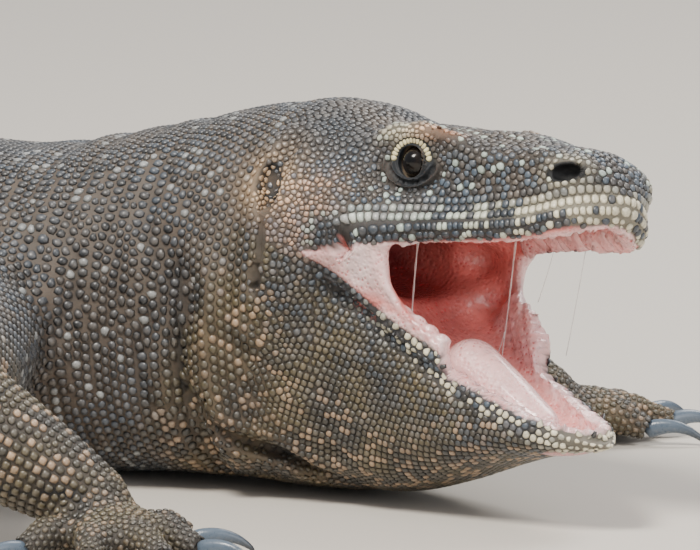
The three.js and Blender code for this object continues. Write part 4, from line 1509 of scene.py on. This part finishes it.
def mouth_colors(p):
    u, v, m = local(p, HEAD), local(p, JAW), local(p, MIDDLE)
    s = untwisted(u)
    color = mix(SALMON[None], SALMON * 0.72, mottle(p, 14, 21))
    # maroon at the back of the mouth: the throat's darker lining, and painted shade where the gullet opens
    color = mix(color, MAROON, step(50, 6, m[:, 0]) * step(34, 22, np.abs(m[:, 1])) * 0.9)
    low = step(12, -8, v[:, 2] - jaw_top(v[:, 0])) * step(40, 70, v[:, 0])
    color = mix(color, ROSE, 0.8 * low)
    tongue = step(3, -1, tongue_form.distance(*v.T)) * step(60, 72, v[:, 0])
    color = mix(color, MILK * [0.98, 0.95, 0.95], 0.9 * tongue)
    gum = np.maximum(step(3.0, 0.5, upper_gum(s)) * 0.7, step(2.5, 0, lower_gum(v)))
    color = mix(color, mix(ROSE[None], MILK, 0.3 + 0.7 * mottle(p, 9, 22)), gum)
    outside = in_wedge(s, v, 0.6) * step(-2.5, 1.5, np.abs(s[:, 1]) - upper_width(s[:, 0]) + 9)
    web = mix(ROSE[None], MILK, 0.35 + 0.65 * mottle(p, 16, 23))
    return mix(color, web, outside * step(75, 60, s[:, 0]))


points = points_of(skin)
wet = wetness(points)
luck = np.full(len(points), 0.35)
bare = mix(markings(points, luck), SAND * [0.40, 0.44, 0.50], 0.36)
bare = mix(bare, DARK * 1.5, 0.55 * step(-30, -14, local(points, HEAD)[:, 0]))
lid = np.linalg.norm(mirrored(local(points, HEAD)) - EYE_AT, axis=1)
bare = mix(bare, DARK * 1.4, step(17, 13, lid))
bare = mix(bare, UMBER * 1.9, step(9.9, 9.3, lid))
# painted shade: the skin darkens where the folds and creases sink in
creases = head_folds(local(points, HEAD), local(points, JAW)) + 0.7 * body_folds(points, *along_spine(points))
bare = mix(bare, DARK * 0.9, 0.85 * step(1.0, 3.6, creases))
# painted shade fills the ear opening
u = local(points, HEAD)
bare = mix(bare, DARK * 0.4, step(2.6, 0.8, ball(mirrored(u), EAR, (3.0, 8, 7))))
# painted shade fills the nostrils
nose = nostrils(untwisted(local(points, HEAD)))
bare = mix(bare, DARK * 0.25, step(3.0, 1.9, nose))
skin_tint = mix(bare, mouth_colors(points), wet)
paint(skin.data, "tint", np.column_stack([skin_tint, np.ones(len(points))]))
value(skin.data, "wet", wet)
print("wet share of the skin:", round(float(wet.mean()), 3))

# %% [markdown]
# ## Materials
# Shader maths is written as plain expressions. One small class wraps a socket, and its operators
# add Math nodes. Every other node comes from one method.

# %% A small shader language
class Wire:
    def __init__(self, build, socket):
        self.build, self.socket = build, socket

    def math(self, operation, other, swap=False):
        pair = (other, self) if swap else (self, other)
        return self.build.node("ShaderNodeMath", {"operation": operation}, {0: pair[0], 1: pair[1]})

    def __add__(self, other):
        return self.math("ADD", other)

    def __mul__(self, other):
        return self.math("MULTIPLY", other)

    def __sub__(self, other):
        return self.math("SUBTRACT", other)

    def __rsub__(self, other):
        return self.math("SUBTRACT", other, swap=True)

    __radd__, __rmul__ = __add__, __mul__


class Finish:
    """One material and the nodes in it."""

    def __init__(self, name):
        self.material = bpy.data.materials.new(name)
        self.material.use_nodes = True
        self.tree = self.material.node_tree
        self.shader = self.tree.nodes["Principled BSDF"]

    def node(self, kind, settings=None, inputs=None, output=0):
        made = self.tree.nodes.new(kind)
        for key, setting in (settings or {}).items():
            if key == "stops":
                ramp = made.color_ramp
                while len(ramp.elements) < len(setting):
                    ramp.elements.new(0.5)
                for element, (place, color) in zip(ramp.elements, setting):
                    element.position, element.color = place, (*color, 1)
            else:
                setattr(made, key, setting)
        for key, given in (inputs or {}).items():
            self.give(made.inputs[key], given)
        return Wire(self, made.outputs[output])

    def give(self, socket, given):
        if isinstance(given, Wire):
            self.tree.links.new(given.socket, socket)
        else:
            socket.default_value = given

    def attribute(self, name, output):
        return self.node("ShaderNodeAttribute", {"attribute_name": name}, output=output)

    def place(self):
        return self.node("ShaderNodeTexCoord", output="Object")

    def noise(self, scale, detail=2.0, rough=0.5):
        values = {"Vector": self.place(), "Scale": scale, "Detail": detail, "Roughness": rough}
        return self.node("ShaderNodeTexNoise", {}, values)

    def spots(self, scale):
        return self.node("ShaderNodeTexVoronoi", {}, {"Vector": self.place(), "Scale": scale})

    def clamp(self, wire, low, high, to_low=0.0, to_high=1.0):
        ends = {"From Min": low, "From Max": high, "To Min": to_low, "To Max": to_high}
        return self.node("ShaderNodeMapRange", {}, {"Value": wire, **ends})

    def mix(self, a, b, share, blend="MIX"):
        settings = {"data_type": "RGBA", "blend_type": blend}
        return self.node("ShaderNodeMix", settings, {"Factor": share, 6: a, 7: b}, output=2)

    def bump(self, height, distance, strength=1.0):
        return self.node("ShaderNodeBump", {}, {"Height": height, "Distance": distance, "Strength": strength})

    def end(self, **inputs):
        for key, given in inputs.items():
            self.give(self.shader.inputs[key.replace("_", " ")], given)
        return self.material


# %% Horny scales
def scale_finish(name, grain, gloss):
    f = Finish(name)
    tint, crown = f.attribute("tint", "Color"), f.attribute("crown", "Fac")
    fine, dust = f.noise(grain, 3.0, 0.6), f.noise(90, 4.0, 0.6)
    # painted shade at the foot of each scale and a painted highlight on its crown, times a fine grain of tone
    shade = f.clamp(crown, 0.0, 0.8, 0.22, 1.25) * f.clamp(fine, 0.3, 0.7, 0.8, 1.2)
    grey = f.node("ShaderNodeCombineColor", {}, {0: shade, 1: shade, 2: shade})
    color = f.mix(tint, grey, 1.0, "MULTIPLY")
    worn = f.clamp(dust, 0.46, 0.72, 0, 0.30) * f.clamp(crown, 0.4, 1.0)
    color = f.mix(color, (0.42, 0.36, 0.30, 1), worn)
    rough = f.clamp(fine, 0.3, 0.7, gloss, gloss + 0.16) + f.clamp(dust, 0.4, 0.7, 0, 0.12)
    normal = f.bump(fine, 0.00022)
    return f.end(
        Base_Color=color, Roughness=rough, Normal=normal,
        Specular_IOR_Level=0.7, Coat_Weight=0.4, Coat_Roughness=0.2,
    )


HEAD_SCALES = scale_finish("head_shields", 900, 0.36)
BODY_SCALES = scale_finish("body_beads", 1100, 0.38)


# %% Skin and mouth
def skin_finish():
    f = Finish("skin_and_mouth")
    tint, wet = f.attribute("tint", "Color"), f.attribute("wet", "Fac")
    fine, soft = f.noise(1400, 3.0, 0.6), f.noise(120, 4.0, 0.6)
    spots = f.spots(420)
    blotch = f.clamp(soft, 0.35, 0.7, 0.86, 1.1)
    shade = f.node("ShaderNodeCombineColor", {}, {0: blotch, 1: blotch, 2: blotch})
    color = f.mix(tint, shade, 1.0, "MULTIPLY")
    dots = f.clamp(spots, 0.22, 0.30, 1, 0) * f.clamp(f.noise(60, 2.0), 0.45, 0.6) * wet
    color = f.mix(color, (0.62, 0.05, 0.06, 1), dots * 0.55)
    rough = f.clamp(wet, 0, 1, 0.66, 0.22) + f.clamp(fine, 0.3, 0.7, -0.04, 0.06)
    height = fine * 0.4 + f.clamp(spots, 0, 0.6) * wet
    normal = f.bump(height, 0.0005)
    f.end(Subsurface_Radius=(0.004, 0.0015, 0.001), Subsurface_Scale=0.5, Subsurface_Weight=0.12)
    return f.end(Base_Color=color, Roughness=rough, Normal=normal, Coat_Weight=wet * 0.7, Coat_Roughness=0.08)


skin.data.materials.clear()
skin.data.materials.append(skin_finish())
skin.data.polygons.foreach_set("use_smooth", np.ones(len(skin.data.polygons), bool))
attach(skin, "root")
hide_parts(*FLESH_NODES)
SLOTS = {"head": "skin_head", "snout": "skin_head", "throat": "skin_throat"}
for name, obj in coats.items():
    obj.data.materials.append(HEAD_SCALES if name in ("head", "snout", "throat") else BODY_SCALES)
    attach(obj, "root")
    SLOTS.get(name, "skin_limbs" if name in LIMBS else "skin_body")
print("materials:", [m.name for m in bpy.data.materials][-4:])

# %% [markdown]
# ## Eyes
# The eyeball is dark and wet. The clear cornea swells a little over a nearly black iris, wide
# open at its round pupil. One sphere, its pole turned outwards, has rings of faces for all three.

# %% Eyes
EYE_LOOK = np.array([0.12, 1.0, 0.06])  # which way the left eye looks, in the frame of the head


def eye_finish():
    f = Finish("eye_of_dark_glass")
    ring = f.attribute("ring", "Fac")
    streaks = f.noise(2600, 3.0, 0.7)
    stops = [
        (0.0, (0.002, 0.002, 0.002)), (0.46, (0.003, 0.002, 0.002)), (0.52, (0.010, 0.006, 0.004)),
        (0.7, (0.006, 0.004, 0.003)), (1.0, (0.006, 0.005, 0.005)),
    ]
    iris = f.node("ShaderNodeValToRGB", {"stops": stops}, {0: ring + (streaks - 0.5) * 0.06})
    return f.end(
        Base_Color=iris, Roughness=0.2, Coat_Weight=0.15, Coat_Roughness=0.03, Specular_IOR_Level=0.3
    )


EYE_FINISH = eye_finish()
for name, side in (("left", 1), ("right", -1)):
    bpy.ops.object.select_all(action="DESELECT")
    bpy.ops.mesh.primitive_uv_sphere_add(segments=48, ring_count=32, radius=1)
    eye = bpy.context.object
    eye.name = "eyeball_" + name
    flat = np.empty(len(eye.data.vertices) * 3, np.float32)
    eye.data.vertices.foreach_get("co", flat)
    p = flat.reshape(-1, 3).astype(float)
    ring = np.hypot(p[:, 0], p[:, 1]) + np.where(p[:, 2] < 0, 1.0, 0)
    p = p * EYE_RADIUS + np.outer(0.5 * step(0.75, 0.2, ring), [0, 0, 1])
    look = EYE_LOOK * [1, side, 1] / np.linalg.norm(EYE_LOOK)
    turn = np.array(Vector(look).to_track_quat("Z", "Y").to_matrix())
    move_points(eye, (p @ turn.T + EYE_AT * [1, side, 1]) @ HEAD.T)
    value(eye.data, "ring", np.clip(ring, 0, 1))
    eye.data.materials.append(EYE_FINISH)
    bpy.ops.object.shade_smooth()
    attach(eye, "root")
    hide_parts("eye_" + name)
print("eyes done")

# %% [markdown]
# ## Claws
# Each claw is a curved cone of horn, higher than it is wide, that grows out of the last joint of
# the finger. A sphere is drawn out along the curve, so both ends are closed.

# %% Claws
CLAW_LENGTH, CLAW_RADIUS, CLAW_TIP = 27.0, 4.6, 0.7


def drawn_out(name, middle, radius_at, segments=16, rings=22):
    """A sphere whose rings are laid along a curve: middle(t) and radius_at(t) give the shape."""
    bpy.ops.object.select_all(action="DESELECT")
    bpy.ops.mesh.primitive_uv_sphere_add(segments=segments, ring_count=rings, radius=1)
    obj = bpy.context.object
    obj.name = name
    flat = np.empty(len(obj.data.vertices) * 3, np.float32)
    obj.data.vertices.foreach_get("co", flat)
    p = flat.reshape(-1, 3).astype(float)
    t = np.arccos(np.clip(p[:, 2], -1, 1)) / np.pi
    t = 1 - t
    around_size = np.hypot(p[:, 0], p[:, 1])
    c, s = p[:, 0] / np.maximum(around_size, 1e-6), p[:, 1] / np.maximum(around_size, 1e-6)
    centre, tangent = middle(t), middle(t + 0.01) - middle(t - 0.01)
    tangent /= np.linalg.norm(tangent, axis=1, keepdims=True)
    side = np.cross(np.tile([0.0, 0.0, 1.0], (len(t), 1)), tangent)
    side /= np.linalg.norm(side, axis=1, keepdims=True) + 1e-9
    over = np.cross(tangent, side)
    wide, high = radius_at(t)
    pole = np.minimum(1, np.sqrt(np.clip(1 - np.abs(2 * t - 1) ** 12, 0, 1)))
    p = centre + (c * wide * pole)[:, None] * side + (s * high * pole)[:, None] * over
    move_points(obj, p)
    value(obj.data, "along", t)
    value(obj.data, "over", s)
    bpy.ops.object.shade_smooth()
    return obj


def horn_finish():
    f = Finish("claw_horn")
    along, over = f.attribute("along", "Fac"), f.attribute("over", "Fac")
    streak = f.node("ShaderNodeTexNoise", {}, {"Vector": f.place(), "Scale": 700.0, "Detail": 4.0})
    blue = f.mix((0.10, 0.135, 0.18, 1), (0.028, 0.034, 0.042, 1), f.clamp(along, 0.45, 0.95))
    color = f.mix(blue, (0.26, 0.25, 0.23, 1), f.clamp(streak, 0.5, 0.75, 0, 0.5) * f.clamp(over, 0.4, -0.8))
    rough = f.clamp(streak, 0.3, 0.7, 0.24, 0.42)
    return f.end(
        Base_Color=color, Roughness=rough, Normal=f.bump(streak, 0.0002), Coat_Weight=0.3, Coat_Roughness=0.15
    )


HORN = horn_finish()
for limb in LIMBS:
    part_name = ("hand" if "arm" in limb else "foot")
    for i, (finger, way) in enumerate(digits_of(limb)):
        node = f"{limb.split('_')[0]}_{part_name}_claw_{i + 1}"
        tip = finger[0] + (finger[2] - finger[0]) * [0.96, 0.96, 0]
        claw_places = ((-5, 7.2), (0.5 * CLAW_LENGTH, 15.0), (CLAW_LENGTH, 1.6))  # forward, height
        start, bend, end = (
            (tip + way * forward) * [1, 1, 0] + [0, 0, FLOOR + height] for forward, height in claw_places
        )

        def middle(t, a=start, b=bend, c=end):
            t = t[:, None]
            return a * (1 - t) ** 2 + 2 * b * t * (1 - t) + c * t**2

        def radius_at(t):
            taper = CLAW_TIP + (CLAW_RADIUS - CLAW_TIP) * np.clip(1 - t, 0, 1) ** 0.8
            return taper * 0.86, taper * 1.08

        claw = drawn_out("claw_" + node, middle, radius_at)
        claw.data.materials.append(HORN)
        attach(claw, "root")
        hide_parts(node)
print("claws:", len(CLAW_NAMES))

# %% [markdown]
# ## Saliva
# Strands of saliva hang between the jaws. Each is a thin thread, thicker at both ends, that hangs
# almost straight. It is clear, so it shows by its gloss alone.

# %% Strands
def saliva_finish():
    f = Finish("saliva")
    beads = f.noise(260, 2.0)
    return f.end(
        Base_Color=(0.98, 0.95, 0.93, 1), Roughness=f.clamp(beads, 0.3, 0.7, 0.03, 0.10),
        Transmission_Weight=0.55, IOR=1.34, Normal=f.bump(beads, 0.0003),
    )


def on_picture(px, py, depth):
    """The place that a point of the picture shows, at a distance in front of the joint."""
    right, up = np.array([0.9063, 0.4226, 0]), np.array([-0.0661, 0.1418, 0.9877])
    return right * (px - 391.75) * 0.501 + up * (242.1 - py) * 0.501 + depth * np.cross(right, up)


SALIVA = saliva_finish()
STRANDS = {
    "near": ([(418, 236), (414, 280), (411, 321)], 44, 0.62),
    "front": ([(516, 236), (507, 315), (498, 382)], 18, 0.44),
    "front_fork": ([(505, 330), (497, 355), (488, 378)], 18, 0.28),
    "far": ([(557, 240), (548, 272), (538, 303)], -8, 0.22),
    "tip": ([(587, 244), (577, 300), (566, 357)], -6, 0.24),
    "chin": ([(494, 440), (493, 455), (492, 467)], 30, 0.5),
}
for name, (places, depth, radius) in STRANDS.items():
    a, b, c = (on_picture(px, py, depth) for px, py in places)

    def middle(t, a=a, b=b, c=c):
        t = t[:, None]
        return a * (1 - t) ** 2 + (4 * b - a - c) / 2 * 2 * t * (1 - t) + c * t**2

    def radius_at(t, r=radius):
        upper_end, lower_end = np.exp(-((t / 0.09) ** 2)), np.exp(-(((1 - t) / 0.06) ** 2))
        thick = r * (0.75 + 1.3 * upper_end + 0.9 * lower_end + 0.12 * np.sin(t * 23))
        return thick, thick

    strand = drawn_out("saliva_" + name, middle, radius_at, 10, 40)
    strand.data.materials.append(SALIVA)
    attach(strand, "root")
print("strands:", len(STRANDS))

# %% Floor
ground = Finish("pale_studio_floor")
floor.data.materials.append(ground.end(Base_Color=(0.62, 0.58, 0.52, 1), Roughness=0.85))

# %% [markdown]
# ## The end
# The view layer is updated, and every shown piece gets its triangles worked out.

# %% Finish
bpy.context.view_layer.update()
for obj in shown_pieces():
    if not obj.hide_render:
        obj.data.calc_loop_triangles()
